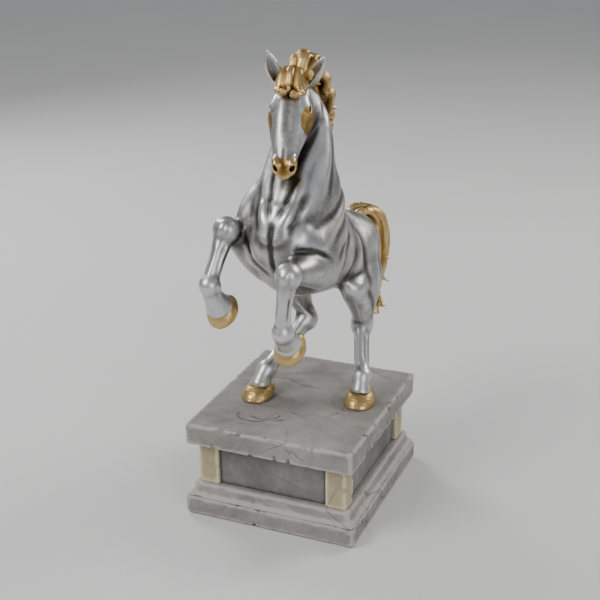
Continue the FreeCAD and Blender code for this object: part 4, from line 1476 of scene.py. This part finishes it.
# Cheeks, and a spot by an ear, in the head's axes: middle, radii.
GILT_SPOTS = [((32, 16, -8), (12, 9, 8.5)), ((36, -16, -11), (12, 8, 8)), ((1, -13, -4), (5, 6, 4))]


def gilt_places(points):
    """Where the head is gilded: its muzzle, its cheeks and a spot by an ear, from 0 to 1."""
    local = points - POLL
    along, side, out = (local @ axis for axis in HEAD_FRAME)
    gilt = np.clip((along - 0.5 * out - 69.5) / 3.0 + 0.5, 0, 1) * (along > 55)
    for centre, radii in GILT_SPOTS:
        gap = sum(((v - c) / r) ** 2 for v, c, r in zip((along, side, out), centre, radii))
        gilt = np.maximum(gilt, np.clip(1.6 - gap, 0, 1))
    return [("gilt", gilt)]


def make_castings():
    neck_seam, head_seam = (*NECK_SEAM, WHOLE_REACH), (*HEAD_SEAM, WHOLE_REACH)
    legs = [(*LEG_SEAMS[name], LEG_REACH[name]) for name in LEG_SEAMS]
    body_piece("torso", (-56, -97, 66), (54, 130, 216), 0.95, legs + [neck_seam], (0, 0, 100))
    body_piece("neck", (-42, -72, 165), (42, 50, 292), 0.8, [neck_seam, head_seam], (0, 40, 215))
    body_piece("right_foreleg", (-64, -102, 92), (-22, -50, 172), 0.55, legs[:1], (-44, -78, 139))
    body_piece("left_foreleg", (-2, -104, 70), (42, -52, 150), 0.55, legs[1:2], (19, -85, 110))
    body_piece("left_hind_leg", (14, -6, 6), (66, 90, 92), 0.6, legs[2:3], (40, 38, 38))
    body_piece("right_hind_leg", (-58, -26, 6), (-6, 90, 92), 0.6, legs[3:4], (-26, 27, 37))
    clay = Clay((-32, -68, 205), (38, 34, 296), 0.5 * COARSE)
    sculpt(clay)
    muzzle = in_head(70, 0, 0)
    head = make_piece("head_casting", clay, "head", "horse_metal", [head_seam], muzzle, gilt_places)
    head.data.materials[0] = MATERIALS["gilded_head"]


make_castings()
for side_name, side_sign in (("left", 1), ("right", -1)):
    make_ear(side_name + "_ear", side_sign)
    make_eye(side_name + "_eye", side_sign)
for hoof_name, shape in HOOVES.items():
    make_hoof(hoof_name, *shape)
make_mane()
make_forelock()
make_tail()
make_plinth()
dress_fixings()


# ---------------------------------------------------------------- camera, light and floor


# The camera stands in front of the horse and to its left, and looks down at it. Its distance from the cap's
# middle, and how far its line of sight passes from there, are in widths of the cap.
CAMERA_DEGREES = (23.06, 22.09, -0.77)
CAMERA_DISTANCE = 6.916
SIGHT_RIGHT = -0.024
SIGHT_UP = 0.572
LENS = 70.76
FLOOR_HALF = 9.0
LIT_HEIGHT = 0.13
# Place, size, power, colour.
LAMPS = {
    "key": ((-0.75, -1.0, 1.25), 0.8, 16.0, (1.0, 0.98, 0.95)),
    "fill": ((1.3, -1.1, 0.7), 0.9, 8.0, (0.95, 0.97, 1.0)),
    "rim_left": ((-1.1, 0.7, 0.9), 0.5, 9.0, (1.0, 1.0, 1.0)),
    "rim_right": ((0.9, 1.0, 1.1), 0.6, 12.0, (1.0, 0.97, 0.93)),
}


def set_camera():
    azimuth, elevation, roll = (math.radians(angle) for angle in CAMERA_DEGREES)
    back = Vector(
        (
            math.sin(azimuth) * math.cos(elevation),
            -math.cos(azimuth) * math.cos(elevation),
            math.sin(elevation),
        )
    )
    right = (-back).cross(Vector((0, 0, 1))).normalized()
    up = right.cross(-back)
    turned_right = right * math.cos(roll) + up * math.sin(roll)
    turned_up = up * math.cos(roll) - right * math.sin(roll)
    offset = back * CAMERA_DISTANCE + turned_right * SIGHT_RIGHT + turned_up * SIGHT_UP
    camera = bpy.data.objects.new("camera", bpy.data.cameras.new("camera"))
    camera.data.lens = LENS
    camera.data.clip_start = 0.01
    turn = Matrix((turned_right, turned_up, back)).transposed().to_4x4()
    camera.matrix_world = Matrix.Translation(Vector((0, 0, TOP)) + offset * CAP_WIDTH) @ turn
    bpy.context.collection.objects.link(camera)
    bpy.context.scene.camera = camera


def set_floor():
    floor = bpy.data.meshes.new("floor")
    corners = [(x * FLOOR_HALF, y * FLOOR_HALF, 0) for x, y in ((-1, -1), (1, -1), (1, 1), (-1, 1))]
    floor.from_pydata(corners, [], [(0, 1, 2, 3)])
    look = Nodes("floor_paint")
    look.finish(look.ramp(look.noise(2, 4), (0.3, 0.66), (0.7, 0.70)), 0.85)
    floor.materials.append(look.material)
    floor_piece = bpy.data.objects.new("floor", floor)
    bpy.context.collection.objects.link(floor_piece)


def set_lights():
    """Four soft lamps about the horse, and an even grey world."""
    middle = Vector((0, 0, TOP + LIT_HEIGHT))
    for name, (place, size, power, colour) in LAMPS.items():
        lamp = bpy.data.lights.new(name, "AREA")
        lamp.size = size
        lamp.energy = power
        lamp.color = colour
        holder = bpy.data.objects.new(name, lamp)
        holder.location = Vector(place)
        holder.rotation_euler = (holder.location - middle).to_track_quat("Z", "Y").to_euler()
        bpy.context.collection.objects.link(holder)
    world = bpy.data.worlds.new("studio")
    world.use_nodes = True
    background = world.node_tree.nodes["Background"]
    background.inputs["Color"].default_value = (0.90, 0.91, 0.93, 1)
    background.inputs["Strength"].default_value = 0.40
    bpy.context.scene.world = world


set_camera()
set_floor()
set_lights()
